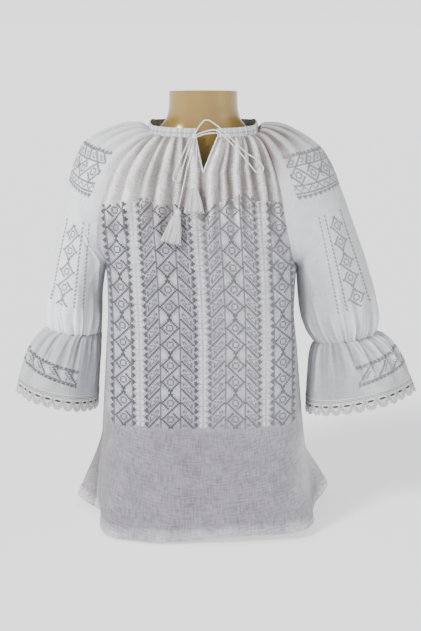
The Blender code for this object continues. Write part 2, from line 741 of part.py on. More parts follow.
def lace_point(surface, share, place):
    """The outer and inner point of the lace at a share of the ruffle's depth and a place round the cuff."""
    shares, grid, normals = surface
    spans = grid.shape[1] - 1
    column = place * spans
    c = min(int(column), spans - 1)
    t = column - c
    line = grid[:, c] * (1 - t) + grid[:, c + 1] * t
    row = np.array([np.interp(share, shares, line[:, k]) for k in range(3)])
    normal = unit(normals[:, c].mean(axis=0) * (1 - t) + normals[:, c + 1].mean(axis=0) * t)
    return row + normal * (LACE_WALL - WALL) / 2, row - normal * (LACE_WALL + WALL) / 2


def make_lace(name, surface, first, last, material):
    """Half of a cuff's lace: a close band, a row of eyelets cut through, and a fan below each eyelet."""
    wall = Wall()
    seam = LACE_SEAM / (SCALLOPS * SCALLOP_WIDTH)
    eye_top, eye_end, notch = 1 + LACE_BAND, 1 + LACE_EYE, 1 + LACE_NOTCH

    def add(key, share, column):
        place = column / (SCALLOPS * LACE_SPANS)
        if column == first * LACE_SPANS:
            place += seam
        if column == last * LACE_SPANS:
            place -= seam
        wall.point(key, *lace_point(surface, share, place))

    for s in range(first, last):
        a, b, c, d, e = (s * LACE_SPANS + k for k in range(LACE_SPANS + 1))
        for column, rows in ((a, 4), (b, 3), (c, 2), (d, 3), (e, 4)):
            drop = max(0.0, math.sin(math.pi * (column - a) / LACE_SPANS)) ** SCALLOP_ROUND
            points = {"tip": notch + (LACE_END - notch) * drop}
            if rows != 3:
                points["top"] = LACE_TOP
            if rows != 2:
                points["eye_top"], points["eye_end"] = eye_top, eye_end
            for row, share in points.items():
                if (row, column) not in wall.index:
                    add((row, column), share, column)
        wall.face(("top", a), ("top", c), ("eye_top", b), ("eye_top", a))
        wall.face(("top", c), ("eye_top", d), ("eye_top", b))
        wall.face(("top", c), ("top", e), ("eye_top", e), ("eye_top", d))
        wall.face(("eye_top", a), ("eye_top", b), ("eye_end", b), ("eye_end", a))
        wall.face(("eye_top", d), ("eye_top", e), ("eye_end", e), ("eye_end", d))
        wall.face(("eye_end", a), ("eye_end", b), ("tip", b), ("tip", a))
        wall.face(("eye_end", b), ("eye_end", d), ("tip", d), ("tip", c), ("tip", b))
        wall.face(("eye_end", d), ("eye_end", e), ("tip", e), ("tip", d))
    return wall.make(name, material)


def band_path(panels):
    """Round the neck from the slit's left edge, over the left shoulder and the back, to its right edge."""
    fronts, sleeves, backs = panels
    line = [fronts[LEFT].base[0], sleeves[LEFT].base[0, ::2], backs[LEFT].base[0, ::-1]]
    line += [backs[RIGHT].base[0], sleeves[RIGHT].base[0, ::-2], fronts[RIGHT].base[0, ::-1]]
    return placed(np.vstack(line), BAND_SPANS)


def make_band(name, path, material):
    """The neckband: a gathered casing that stands on the cloth's top edge all round the neck."""
    wall = Wall()
    keys = []
    for k, point in enumerate(path):
        away = unit((point - NECK_CENTRE) * np.array([1, 1, 0]))
        for share in (0, 1):
            up = np.array([0, 0, BAND_RISE + share * BAND_HEIGHT])
            at = point + up - away * (BAND_INSIDE + BAND_LEAN * share)
            wall.point((k, share), at, at - away * BAND_WALL)
        keys.append([(k, 0), (k, 1)])
    for a, b in zip(keys, keys[1:]):
        wall.strip(a, b)
    return wall.make(name, material)


def make_form(name, material):
    """The limbless dress form: hips to a neck cut flat, closed and smooth."""
    mesh = bmesh.new()
    rings = []
    for z, half, front, back, roundness in FORM:
        ring = []
        for k in range(FORM_SPANS):
            turn = 2 * math.pi * k / FORM_SPANS
            s, c = math.sin(turn), math.cos(turn)
            x = half * math.copysign(abs(s) ** (2 / roundness), s)
            depth = front if c > 0 else back
            y = -depth * math.copysign(abs(c) ** (2 / roundness), c)
            ring.append(mesh.verts.new(np.array([x, y, z]) * MM))
        rings.append(ring)
    for lower, upper in zip(rings, rings[1:]):
        for k in range(FORM_SPANS):
            after = (k + 1) % FORM_SPANS
            mesh.faces.new([lower[k], lower[after], upper[after], upper[k]])
    mesh.faces.new(rings[0][::-1])
    mesh.faces.new(rings[-1])
    return finish_mesh(mesh, name, material)


# ---------------------------------------------------------------- the drawstring


def curve_through(points, step=0.7):
    """A smooth line through the points, read every step."""
    points = np.array(points, float)
    points = np.vstack([2 * points[0] - points[1], points, 2 * points[-1] - points[-2]])
    line = []
    for k in range(1, len(points) - 2):
        a, b, c, d = points[k - 1 : k + 3]
        count = max(2, int(np.linalg.norm(c - b) / step))
        for t in np.arange(count) / count:
            square, cube = t * t, t * t * t
            rise = -a + 3 * b - 3 * c + d
            bend = 2 * a - 5 * b + 4 * c - d
            line.append(0.5 * (2 * b + (c - a) * t + bend * square + rise * cube))
    line.append(points[-2])
    return np.array(line)


def thinned(line, tolerance):
    """The fewest points of a line that stay within the tolerance of it."""
    if len(line) < 3:
        return line
    chord = line[-1] - line[0]
    away = line - line[0]
    along = np.clip(away @ chord / max(chord @ chord, 1e-9), 0, 1)
    off = np.linalg.norm(away - along[:, None] * chord, axis=1)
    k = int(off.argmax())
    if off[k] < tolerance:
        return line[[0, -1]]
    return np.vstack([thinned(line[: k + 1], tolerance)[:-1], thinned(line[k:], tolerance)])


class Front:
    """What the drawstring lies on: the outer sides of the front panel and the neckband."""

    def __init__(self, objects):
        points, faces = [], []
        for made in objects:
            start = len(points)
            points += [v.co / MM for v in made.data.vertices]
            faces += [[start + k for k in face.vertices] for face in made.data.polygons]
        self.tree = BVHTree.FromPolygons(points, faces)

    def reach(self, x, z, around):
        """How far forward the cloth stands at a place seen from the front, or anywhere around it."""
        found = []
        for dx in (-around, 0, around):
            for dz in (-around, 0, around):
                hit = self.tree.ray_cast(Vector((x + dx, -300, z + dz)), Vector((0, 1, 0)), 240)[0]
                if hit is not None:
                    found.append(hit.y)
        return min(found) if found else None


def spread(values, reach, how):
    """Each value's minimum or mean over its neighbours along a line."""
    padded = np.pad(values, reach, mode="edge")
    return np.array([how(padded[k : k + 2 * reach + 1]) for k in range(len(values))])


def laid(route, front):
    """A route seen from the front, laid on the cloth: it rests on the pleats and spans what is between."""
    flat = curve_through(route)
    ys = []
    for x, z in flat:
        reach = front.reach(x, z, CORD / 2 + 0.4)
        ys.append(CORD_AIR_Y if reach is None else reach - CORD / 2 - CORD_CLEAR)
    ys = spread(spread(np.array(ys), CORD_SPAN, np.min), CORD_SPAN, np.mean)
    return np.column_stack([flat[:, 0], ys, flat[:, 1]])


def led_to(line, end, target):
    """A line whose end is bent smoothly to a target point."""
    line = line.copy()
    steps = np.arange(len(line)) if end == 0 else np.arange(len(line))[::-1]
    moved = np.asarray(target) - line[end]
    for k, step in enumerate(steps):
        line[k] += moved * smooth(1 - step / CORD_BEND)
    return line


def knot_entry(name, which):
    """The place just outside the knot where an end of a cord stops."""
    direction = np.array(KNOT_ENTRIES[name][which])
    return KNOT + direction / np.linalg.norm(direction / (np.array(KNOT_RADII) + KNOT_GAP))


def make_cord(name, line, material):
    """A round cord along a line, with its ends closed."""
    points = thinned(line, CORD_TOLERANCE) * MM
    data = bpy.data.curves.new(name, "CURVE")
    data.dimensions = "3D"
    data.bevel_depth = CORD / 2 * MM
    data.bevel_resolution = 2
    data.use_fill_caps = True
    spline = data.splines.new("POLY")
    spline.points.add(len(points) - 1)
    for at, point in zip(spline.points, points):
        at.co = (*point, 1.0)
    spline.use_smooth = True
    data.materials.append(material)
    made = bpy.data.objects.new(name, data)
    bpy.context.scene.collection.objects.link(made)
    return made


def make_knot(name, material):
    """The bow's knot: a small round lump."""
    mesh = bmesh.new()
    bmesh.ops.create_uvsphere(mesh, u_segments=10, v_segments=6, radius=1.0)
    for v in mesh.verts:
        v.co = Vector([(c + v.co[k] * r) * MM for k, (c, r) in enumerate(zip(KNOT, KNOT_RADII))])
    return finish_mesh(mesh, name, material)


def tassel_ends(top, bottom, deep, front):
    """Both ends of a tassel's middle line, just clear of the cloth all the way down."""
    ends = []
    for (x, z), radius in ((top, TASSEL_HEAD), (bottom, deep)):
        ends.append(np.array([x, front.reach(x, z, radius) - radius - TASSEL_CLEAR, z]))
    start, end = ends
    short = 0.0
    for share in (0.2, 0.4, 0.6, 0.8):
        x, y, z = start + (end - start) * share
        radius = max(TASSEL_HEAD, deep * share)
        short = max(short, y - (front.reach(x, z, radius) - radius - TASSEL_CLEAR))
    return start - np.array([0, short, 0]), end - np.array([0, short, 0])


def make_tassel(name, start, end, wide, deep, material):
    """A bound head and a skirt of strands that grow from its underside."""
    down = unit(end - start)
    side = unit(np.cross(down, [0, 1, 0]))
    if side[0] < 0:
        side = -side
    fore = np.cross(down, side)
    length = np.linalg.norm(end - start)
    mesh = bmesh.new()

    def at(turn, along, across, depth):
        point = start + down * along + side * across * math.cos(turn) + fore * depth * math.sin(turn)
        return mesh.verts.new(point * MM)

    turns = [2 * math.pi * k / STRANDS for k in range(STRANDS)]
    tip = mesh.verts.new(start * MM)
    rings = []
    for along, radius in TASSEL_RINGS:
        rings.append([at(turn, along, radius, radius) for turn in turns])
    core = [at(turn, TASSEL_CORE, TASSEL_NECK * 0.4, TASSEL_NECK * 0.4) for turn in turns]
    floor = mesh.verts.new((start + down * TASSEL_FLOOR) * MM)
    for k in range(STRANDS):
        n = (k + 1) % STRANDS
        mesh.faces.new([tip, rings[0][k], rings[0][n]])
        mesh.faces.new([floor, core[n], core[k]])
        for upper, lower in zip(rings, rings[1:]):
            mesh.faces.new([upper[k], lower[k], lower[n], upper[n]])
        root = [rings[-1][k], rings[-1][n], core[n], core[k]]
        reach = length * (STRAND_CUTS[0] + STRAND_CUTS[1] * math.sin(5.3 * k + start[0]))
        for share, flare in STRAND_FLARES:
            along = TASSEL_CORE + (reach - TASSEL_CORE) * share
            ring = []
            for turn, inward in STRAND_CORNERS:
                out = flare * inward
                ring.append(at(turns[k] + turn * turns[1], along, wide * out, deep * out))
            for j in range(4):
                mesh.faces.new([root[j], ring[j], ring[(j + 1) % 4], root[(j + 1) % 4]])
            root = ring
        mesh.faces.new(root)
    return finish_mesh(mesh, name, material)


# ---------------------------------------------------------------- materials and the whole object


def finish(name, look):
    """The material of one piece."""
    colour, roughness, metallic = look
    made = bpy.data.materials.new(name)
    made.use_nodes = True
    shader = made.node_tree.nodes["Principled BSDF"]
    shader.inputs["Base Color"].default_value = (*colour, 1.0)
    shader.inputs["Roughness"].default_value = roughness
    shader.inputs["Metallic"].default_value = metallic
    return made


def sew(fronts, sleeves, backs):
    """One outward direction where pieces meet, and the seams' gaps."""
    body = slice(len(YOKE_ROWS) - 1, None)
    for side in (LEFT, RIGHT):
        front, sleeve, back = fronts[side], sleeves[side], backs[side]
        sew_armhole(front, sleeve, 0, side)
        sew_armhole(back, sleeve, -1, side)
        share_normals((front, body, -1), (back, body, -1))
        share_normals((sleeve, body, 0), (sleeve, body, -1))
        front.shift[body, -1, 1] -= SEAM_GAP / 2
        back.shift[body, -1, 1] += SEAM_GAP / 2
        for patch in (front, sleeve, back):
            patch.shift[0] += unit(patch.base[1] - patch.base[0]) * SEAM_GAP / 2
    for pair in (fronts, backs):
        share_normals((pair[LEFT], slice(None), 0), (pair[RIGHT], slice(None), 0))


def main():
    for old in list(bpy.data.objects):
        bpy.data.objects.remove(old)

    fronts, backs, sleeves = {}, {}, {}
    for side in (LEFT, RIGHT):
        fronts[side] = panel_patch(side, FRONT_YOKE, 1, -1, FRONT_PLEATS, FRONT_WIDTHS, "front")
        backs[side] = panel_patch(side, BACK_YOKE, 2, 1, BACK_PLEATS, BACK_WIDTHS, "back")
        sleeves[side] = sleeve_patch(side)
    sew(fronts, sleeves, backs)

    front_panel = make_panel("front_panel", fronts, SLIT_END_ROW, finish("front_panel", LINEN))
    make_panel("back_panel", backs, 0, finish("back_panel", LINEN))
    for side, word in ((LEFT, "left"), (RIGHT, "right")):
        ruffle = ruffle_patch(side, RUFFLE_ROWS, SLEEVE_SPANS)
        share_normals((ruffle, slice(None), 0), (ruffle, slice(None), -1))
        share_normals((ruffle, 0, slice(None)), (sleeves[side], -1, slice(None)))
        fine_from = len(YOKE_ROWS) + 3
        strides = [1 if r >= fine_from else 2 for r in range(len(sleeves[side].base))]
        name = f"sleeve_{word}"
        make_tube(name, sleeves[side], strides, len(YOKE_ROWS) - 1, finish(name, LINEN))
        strides = [1 if share < 0.5 else 2 for share in RUFFLE_ROWS]
        name = f"ruffle_{word}"
        make_tube(name, ruffle, strides, 0, finish(name, LINEN))
        surface = lace_surface(side)
        for part, first in (("front", 0), ("back", SCALLOPS // 2)):
            name = f"lace_{word}_{part}"
            make_lace(name, surface, first, first + SCALLOPS // 2, finish(name, COTTON))
    band = make_band("neckband", band_path((fronts, sleeves, backs)), finish("neckband", LINEN))
    make_form("dress_form", finish("dress_form", GOLD))

    front = Front((front_panel, band))
    tips = {}
    for name, (top, bottom, wide, deep) in TASSELS.items():
        start, end = tassel_ends(top, bottom, deep, front)
        tips[name] = start
        make_tassel(name, start, end, wide, deep, finish(name, COTTON))
    make_knot("cord_knot", finish("cord_knot", COTTON))
    for name, route in ROUTES.items():
        line = laid(route, front)
        line = led_to(line, 0, knot_entry(name, 0))
        if name in TASSEL_OF:
            line = led_to(line, -1, tips[TASSEL_OF[name]] + [0, 0, END_GAP])
        else:
            line = led_to(line, -1, knot_entry(name, 1))
        make_cord(name, line, finish(name, COTTON))
    name = "cord_bridge"
    make_cord(name, led_to(curve_through(BRIDGE), -1, knot_entry(name, 0)), finish(name, COTTON))


main()
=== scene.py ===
"""The finished look of a Romanian ie on a limbless dress form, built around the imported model.

Tables are in millimetres and become metres where a mesh is made. The cloth follows the solids' surfaces on a
finer grid, with its own pleats and folds, and the gathers, embroidery, lace, cords and tassels added.
"""
import math

import bmesh
import bpy
import numpy as np
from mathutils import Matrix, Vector


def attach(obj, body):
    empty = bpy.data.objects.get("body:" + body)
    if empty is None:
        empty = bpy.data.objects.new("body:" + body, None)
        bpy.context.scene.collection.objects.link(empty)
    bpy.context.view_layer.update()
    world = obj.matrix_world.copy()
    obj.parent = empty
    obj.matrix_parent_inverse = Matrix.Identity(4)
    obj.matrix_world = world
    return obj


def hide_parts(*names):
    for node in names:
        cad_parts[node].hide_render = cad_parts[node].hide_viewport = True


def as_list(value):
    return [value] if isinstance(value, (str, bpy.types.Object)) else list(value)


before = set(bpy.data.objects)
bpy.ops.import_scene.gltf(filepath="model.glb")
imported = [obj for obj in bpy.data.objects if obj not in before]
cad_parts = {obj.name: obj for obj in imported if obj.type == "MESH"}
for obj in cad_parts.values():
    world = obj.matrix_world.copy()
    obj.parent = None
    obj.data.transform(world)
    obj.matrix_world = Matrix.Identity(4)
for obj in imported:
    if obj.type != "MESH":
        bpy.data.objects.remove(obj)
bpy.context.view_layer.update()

MM = 0.001
TURN = 2 * math.pi
LEFT, RIGHT = 1, -1  # the wearer's sides, as the sign of x
WORDS = {LEFT: "left", RIGHT: "right"}
FRONT, BACK, CAP = 0, 1, 2  # the panels and the sleeve's cap, as columns of the tables
AWAY = (-1, 1)  # which way the front and the back look along y

# ---------------- tables


class Table:
    """Rows of sizes by a rising first number, each column joined smoothly from row to row."""

    def __init__(self, *rows):
        self.rows = np.array(rows, float)
        self.keys = self.rows[:, 0]
        secants = np.diff(self.rows, axis=0) / np.diff(self.keys)[:, None]
        first, last = secants[:-1], secants[1:]
        level = first * last <= 0
        inner = 2 * first * last / np.where(level, 1, first + last)
        self.slopes = np.vstack([secants[:1], np.where(level, 0, inner), secants[-1:]])

    def at(self, key):
        """Each column at one or more keys, or the column itself where there is only one."""
        key = np.asarray(key, float)[..., None]
        k = np.clip(np.searchsorted(self.keys, key[..., 0]) - 1, 0, len(self.keys) - 2)
        start, step = self.keys[k][..., None], np.diff(self.keys)[k][..., None]
        t = np.clip((key - start) / step, 0, 1)
        row = (1 + 2 * t) * (1 - t) ** 2 * self.rows[k] + t * t * (3 - 2 * t) * self.rows[k + 1]
        row += t * (1 - t) * step * ((1 - t) * self.slopes[k] - t * self.slopes[k + 1])
        columns = np.moveaxis(row, -1, 0)[1:]
        return columns if len(columns) > 1 else columns[0]


# The armhole of each side, from the neck (share 0) to the underarm (1): x, y and z of the ridge over the
# shoulder, the front seam and the back seam. Then how far the cloth runs level from the ridge before it falls
# away, and how far out, fore and up it is led into the front seam. Fore is turned round for the back seam.
ARMHOLE = {
    LEFT: Table(
        (0.00, 88, 5, 648, 81, -41, 639, 82, 36, 649, 19, 6, -4, 2),
        (0.07, 99, 5, 656, 90, -47, 632, 90, 45, 642, 23, 7, -7, 6),
        (0.18, 121, 5, 654, 101, -56, 615, 101, 56, 624, 32, 11, -10, 14),
        (0.32, 152, 5, 643, 112, -68, 588, 112, 68, 594, 44, 22, -14, 24),
        (0.48, 187, 5, 620, 121, -81, 550, 122, 78, 556, 58, 33, -16, 32),
        (0.64, 207, 4, 591, 128, -86, 508, 131, 82, 513, 76, 40, -10, 36),
        (0.80, 220, 2, 558, 136, -75, 468, 139, 72, 471, 94, 34, -18, 30),
        (0.92, 230, 2, 534, 144, -44, 441, 146, 43, 442, 107, 26, -60, 22),
        (1.00, 236, 1, 518, 151, 0, 430, 151, 0, 430, 114, 0, -114, 0),
    ),
    RIGHT: Table(
        (0.00, 88, 5, 648, 81, -41, 639, 82, 36, 649, 19, 6, -4, 2),
        (0.07, 101, 5, 656, 93, -46, 633, 90, 45, 642, 23, 7, -7, 6),
        (0.18, 123, 5, 655, 112, -53, 618, 102, 56, 624, 32, 10, -10, 12),
        (0.32, 155, 5, 646, 134, -62, 594, 114, 68, 594, 44, 18, -12, 20),
        (0.48, 188, 5, 629, 151, -72, 556, 125, 78, 556, 58, 26, -14, 28),
        (0.64, 204, 4, 602, 163, -77, 514, 135, 82, 513, 76, 26, -14, 34),
        (0.80, 214, 2, 570, 167, -69, 472, 146, 72, 471, 94, 22, -28, 32),
        (0.92, 221, 2, 544, 156, -41, 442, 153, 43, 442, 107, 22, -60, 23),
        (1.00, 226, 1, 522, 158, 0, 430, 158, 0, 430, 114, 0, -114, 0),
    ),
}

# The sleeve below the underarm (share 1) down to the gathered elbow (2), as leaning ovals: x and z of the
# outermost point and of the innermost, y of the middle, and how far the front and back stand from it.
ARM = {
    LEFT: Table(
        (1.00, 236, 518, 151, 430, 0, 86),
        (1.20, 252, 474, 153, 404, -1, 84),
        (1.40, 268, 426, 155, 378, -2, 80),
        (1.60, 279, 380, 159, 350, -4, 73),
        (1.80, 282, 344, 168, 325, -6, 61),
        (1.92, 279, 327, 178, 311, -7, 49),
        (2.00, 274, 317, 187, 303, -8, 42),
    ),
    RIGHT: Table(
        (1.00, 226, 522, 158, 430, 0, 86),
        (1.20, 239, 470, 163, 406, 0, 84),
        (1.40, 245, 426, 166, 382, -1, 80),
        (1.60, 249, 386, 167, 358, -1, 72),
        (1.80, 250, 352, 169, 336, -2, 60),
        (1.92, 250, 334, 170, 325, -3, 48),
        (2.00, 249, 324, 171, 318, -3, 41),
    ),
}

# The ruffle below the elbow in the same columns, from its gathers (share 0) to where the lace starts (1) and
# the lace tips (1.28).
RUFFLE = {
    LEFT: Table(
        (0.00, 274, 316, 187, 302, -8, 42),
        (0.12, 290, 312, 180, 296, -9, 50),
        (0.30, 307, 300, 175, 281, -10, 62),
        (0.60, 326, 275, 172, 250, -12, 72),
        (1.00, 338, 250, 170, 213, -14, 79),
        (1.28, 347, 226, 170, 186, -16, 83),
    ),
    RIGHT: Table(
        (0.00, 249, 323, 171, 317, -3, 41),
        (0.12, 263, 317, 170, 309, -4, 50),
        (0.30, 276, 303, 170, 293, -6, 60),
        (0.60, 290, 278, 172, 260, -9, 70),
        (1.00, 300, 250, 174, 221, -12, 77),
        (1.28, 306, 225, 176, 194, -13, 82),
    ),
}

# The centre front and the centre back between the neck (share 0) and the underarm (1): y and z of the middle,
# how far a row runs straight from it, as a share of its width, and how far out, fore and up it is led into
# the seam.
YOKE = {
    FRONT: Table(
        (0.00, -68, 635, 0.52, -14, -17, -2),
        (0.07, -75, 623, 0.50, -16, -16, -2),
        (0.18, -83, 602, 0.48, -19, -15, -2),
        (0.32, -92, 573, 0.44, -27, -14, -2),
        (0.48, -103, 537, 0.42, -34, -12, 0),
        (0.64, -111, 500, 0.44, -34, -15, 0),
        (0.80, -117, 464, 0.52, -22, -30, 0),
        (0.92, -120, 443, 0.62, -12, -60, 0),
        (1.00, -122, 430, 0.74, 0, -94, 0),
    ),
    BACK: Table(
        (0.00, 62, 651, 0.50, -3, 18, 0),
        (0.07, 68, 643, 0.50, -6, 17, 0),
        (0.18, 77, 622, 0.48, -16, 16, 0),
        (0.32, 87, 590, 0.44, -27, 13, 0),
        (0.48, 95, 552, 0.42, -34, 11, 0),
        (0.64, 100, 511, 0.43, -34, 12, 0),
        (0.80, 102, 470, 0.47, -26, 20, 0),
        (0.92, 102, 446, 0.54, -17, 41, 0),
        (1.00, 102, 430, 0.66, 0, 67, 0),
    ),
}

# The body below the underarm, by height: half widths at the left and right, depths of the front and back,
# y of the side seam, and how square the front and the back are.
UNDERARM = 430
HEM_Z = 4.0
BODY = Table(
    (HEM_Z, 188, 175, 135, 132, 10, 0.88, 0.62),
    (50, 183, 174, 132, 126, 10, 0.86, 0.62),
    (97, 176, 172, 129, 119, 8, 0.84, 0.62),
    (131, 170, 170, 127, 114, 6, 0.82, 0.63),
    (200, 162, 166, 125, 106, 4, 0.80, 0.64),
    (295, 154, 160, 125, 98, 2, 0.79, 0.65),
    (360, 148, 156, 126, 99, 1, 0.78, 0.66),
    (400, 149, 156, 124.5, 101, 0, 0.76, 0.66),
    (UNDERARM, 151, 158, 122, 102, 0, 0.74, 0.66),
)
HEM_DEPTH = 13.0
HEM_RAISE = 0.8
HEM_LIFT_FROM = 130.0  # the hem's uneven level fades out at this height
# How far the hem rides up from the centre front (place 0) past the side seam (1) to the centre back (2).
HEM_LIFT = {
    LEFT: Table((0, 4), (0.1, 7), (0.25, 9), (0.7, 10), (1.0, 17), (1.2, 26), (1.5, 20), (2, 8)),
    RIGHT: Table((0, 4), (0.12, 1), (0.3, 0), (0.7, 0), (1.0, 6), (1.2, 10), (1.5, 10), (2, 8)),
}

# Soft folds that hang to the hem: a place from the centre front (0) to the side seam (1) and the centre back
# (2), the height at the hem, negative for a trough, the half width, and the height where it fades out.
HEM_FOLDS = {
    LEFT: (
        (1.24, 46.0, 0.30, 135), (0.84, -6.0, 0.14, 150), (1.52, -9.0, 0.16, 190),
        (1.76, 8.0, 0.15, 340), (0.30, -3.0, 0.18, 210), (0.55, 3.0, 0.12, 140),
    ),
    RIGHT: (
        (1.22, 62.0, 0.30, 175), (0.86, -7.0, 0.13, 165), (1.50, -10.0, 0.16, 200),
        (1.72, 9.0, 0.14, 330), (0.24, 3.0, 0.16, 230), (0.55, 3.0, 0.12, 150),
    ),
}

# Each pleat's share of the height, from the centre or the front on, and the panel pleats' widths at the neck.
PLEATS = {
    FRONT: (1.1, 0.55, 1.35, 0.65, 1.25, 0.6),
    BACK: (0.8, 1.1, 0.9, 1.2, 0.8),
    CAP: (0.8, 1.1, 0.9, 1.0, 1.2, 0.8, 1.1, 0.7),
}
PLEAT_WIDTHS = {FRONT: (1.2, 0.85, 1.15, 0.8, 1.2, 0.8), BACK: (1.1, 0.9, 1.2, 0.8, 1.0)}
ELBOW_PLEATS = (0.8, 1.1, 0.9, 1.2, 1.0, 0.8, 1.2, 1.0, 0.9, 1.1, 0.8, 1.2, 0.9, 1.0, 1.1, 0.8)
PLEAT_DROP = 175.0  # how far below the underarm the pleat table's share reaches 2
# How high the pleats of the front, the back and the cap stand below the neckband, by share of the armhole.
NECK_PLEAT = Table(
    (0.00, 1.8, 1.6, 1.4), (0.07, 4.0, 3.2, 2.8), (0.18, 6.2, 4.6, 4.0), (0.32, 6.6, 4.8, 3.2),
    (0.48, 5.4, 3.6, 1.4), (0.64, 3.8, 2.4, 0.0), (0.80, 2.3, 1.4, 0.0), (0.92, 1.4, 0.8, 0.0),
    (1.00, 1.0, 0.6, 0.0), (1.20, 0.4, 0.2, 0.0), (1.40, 0.0, 0.0, 0.0),
)
# The same round the elbow, by share of the arm and of the ruffle, and the ruffle's wide waves.
ELBOW_PLEAT = Table((1.40, 0.0), (1.60, 2.6), (1.80, 5.8), (1.92, 4.8), (2.00, 1.8))
RUFFLE_PLEAT = Table((0.00, 1.8), (0.12, 4.8), (0.30, 6.0), (0.60, 3.2), (1.00, 0.0))
RUFFLE_WAVE = Table((0.00, 0.0), (0.30, 0.6), (0.60, 2.6), (1.00, 4.0), (1.28, 4.4))
RUFFLE_WAVES = 8
# How many fine gathers go across a panel and round the cap, the elbow and the neckband.
PANEL_GATHERS, CAP_GATHERS, ELBOW_GATHERS, BAND_GATHERS = 26, 34, 42, 62

# The dress form by height: half width, depths of the front and back, and how round it is.
FORM_TOP = 707
FORM = Table(
    (0, 150, 96, 98, 2.3), (70, 149, 96, 98, 2.3), (150, 132, 87, 82, 2.3), (235, 111, 80, 70, 2.2),
    (310, 121, 91, 78, 2.2), (370, 136, 111, 87, 2.4), (415, 140, 121, 90, 2.4), (460, 142, 112, 92, 2.4),
    (520, 148, 92, 92, 2.4), (570, 157, 75, 86, 2.4), (600, 163, 62, 76, 2.3), (618, 160, 55, 67, 2.2),
    (630, 142, 50, 61, 2.1), (639, 112, 48, 57, 2.0), (646, 82, 47, 55, 2.0), (656, 66, 47, 54, 2.0),
    (668, 58, 47, 54, 2.0), (686, 55, 49, 55, 2.0), (FORM_TOP, 54.5, 49, 56, 2.0),
)

# Grid lines of the cloths: shares, then heights down the body.
PANEL_SPANS = 132
SLEEVE_SPANS = 288
SLIT_SHARE = 0.28  # the share of the armhole where the neck slit ends
SLIT_HALF = {LEFT: 22.0, RIGHT: 11.0}
YOKE_FINE = np.unique(np.r_[np.linspace(0, SLIT_SHARE, 15), np.linspace(SLIT_SHARE, 1, 27)])
SLIT_ROWS = int(np.searchsorted(YOKE_FINE, SLIT_SHARE)) + 1
HEM_TOP = HEM_Z + HEM_DEPTH
HEM_ROWS = 4  # the last rows of the body, in the turned hem
HEM_HEIGHTS = np.r_[HEM_TOP, np.linspace(HEM_Z + 9, HEM_Z, HEM_ROWS - 1)]
BODY_FINE = np.r_[np.linspace(UNDERARM - 6, HEM_TOP + 0.5, 52), HEM_HEIGHTS]
CAP_FINE = np.linspace(0, 1, 46)
ARM_FINE = np.unique(np.r_[np.linspace(1.03, 1.7, 26), np.linspace(1.7, 2.0, 22)])
RUFFLE_FINE = np.unique(np.r_[np.linspace(0, 0.3, 14), np.linspace(0.3, 1.0, 20)])


# ---------------- base surfaces

ALL = slice(None)
TOP, BOTTOM, FIRST, LAST = (0, ALL), (-1, ALL), (ALL, 0), (ALL, -1)  # edges of a grid


def unit(vectors):
    return vectors / np.maximum(np.linalg.norm(vectors, axis=-1, keepdims=True), 1e-9)


def lengths_of(line):
    """How far each point lies along a line."""
    return np.r_[0, np.cumsum(np.linalg.norm(np.diff(line, axis=0), axis=1))]


def placed(line, places):
    """Points at the given shares of a line's length, or at that many equal spans of it."""
    if np.isscalar(places):
        places = np.linspace(0, 1, places + 1)
    lengths = lengths_of(line)
    wanted = np.asarray(places) * lengths[-1]
    return np.column_stack([np.interp(wanted, lengths, line[:, k]) for k in range(3)])


def bow(start, lead, arrive, end, places):
    """A smooth line from start to end, setting off along lead and coming in along -arrive."""
    t = np.linspace(0, 1, 81)[:, None]
    line = (1 - t) ** 3 * start + 3 * (1 - t) ** 2 * t * (start + lead)
    line = line + 3 * (1 - t) * t**2 * (end + arrive) + t**3 * end
    return placed(line, places)


def smooth(t):
    """From 0 to 1, level at both ends."""
    t = min(max(t, 0.0), 1.0)
    return t * t * (3 - 2 * t)


def ramp(values, start, end):
    """From 0 at start to 1 at end."""
    return np.clip((values - start) / (end - start), 0, 1)


def bell(values):
    """1 at 0, and less on both sides of it."""
    return np.exp(-(values**2))


def armhole(side, share):
    """The shoulder ridge, front seam and back seam of one armhole, and how the cloth is led into them."""
    row = ARMHOLE[side].at(share)
    return *(row[:9].reshape(3, 3) * (side, 1, 1)), row[9:]


def yoke_row(side, share, face, slit):
    """From the centre to an armhole's seam, above the underarm."""
    mid_y, mid_z, spread, out, fore, up = YOKE[face].at(share)
    start = np.array([side * slit, mid_y, mid_z])
    end = armhole(side, share)[1 + face]
    edges = np.r_[0, np.cumsum(PLEAT_WIDTHS[face])] / sum(PLEAT_WIDTHS[face])
    even = np.linspace(0, 1, PANEL_SPANS + 1)
    uneven = np.interp(even, np.linspace(0, 1, len(edges)), edges)
    places = uneven + (even - uneven) * smooth(share)
    return bow(start, (spread * (end[0] - start[0]), 0, 0), (side * out, fore, up), end, places)


def round_body(face):
    """Where the columns of half a panel lie, from the centre front (0) to the centre back (2)."""
    place = np.arange(PANEL_SPANS + 1) / PANEL_SPANS
    return place if face == FRONT else 2 - place


def body_row(side, height, face):
    """From the centre to the side seam, below the underarm."""
    left, right, *depths, side_y, square_front, square_back = BODY.at(height)
    half = left if side == LEFT else right
    depth, square = AWAY[face] * depths[face], (square_front, square_back)[face]
    end = np.array([side * half, side_y, height])
    arrive = (0, square * (depth - side_y), 0)
    line = bow(np.array([0, depth, height]), (side * square * half, 0, 0), arrive, end, PANEL_SPANS)
    fade = smooth((HEM_LIFT_FROM - height) / (HEM_LIFT_FROM - HEM_Z))
    line[:, 2] += fade * HEM_LIFT[side].at(round_body(face))
    return line


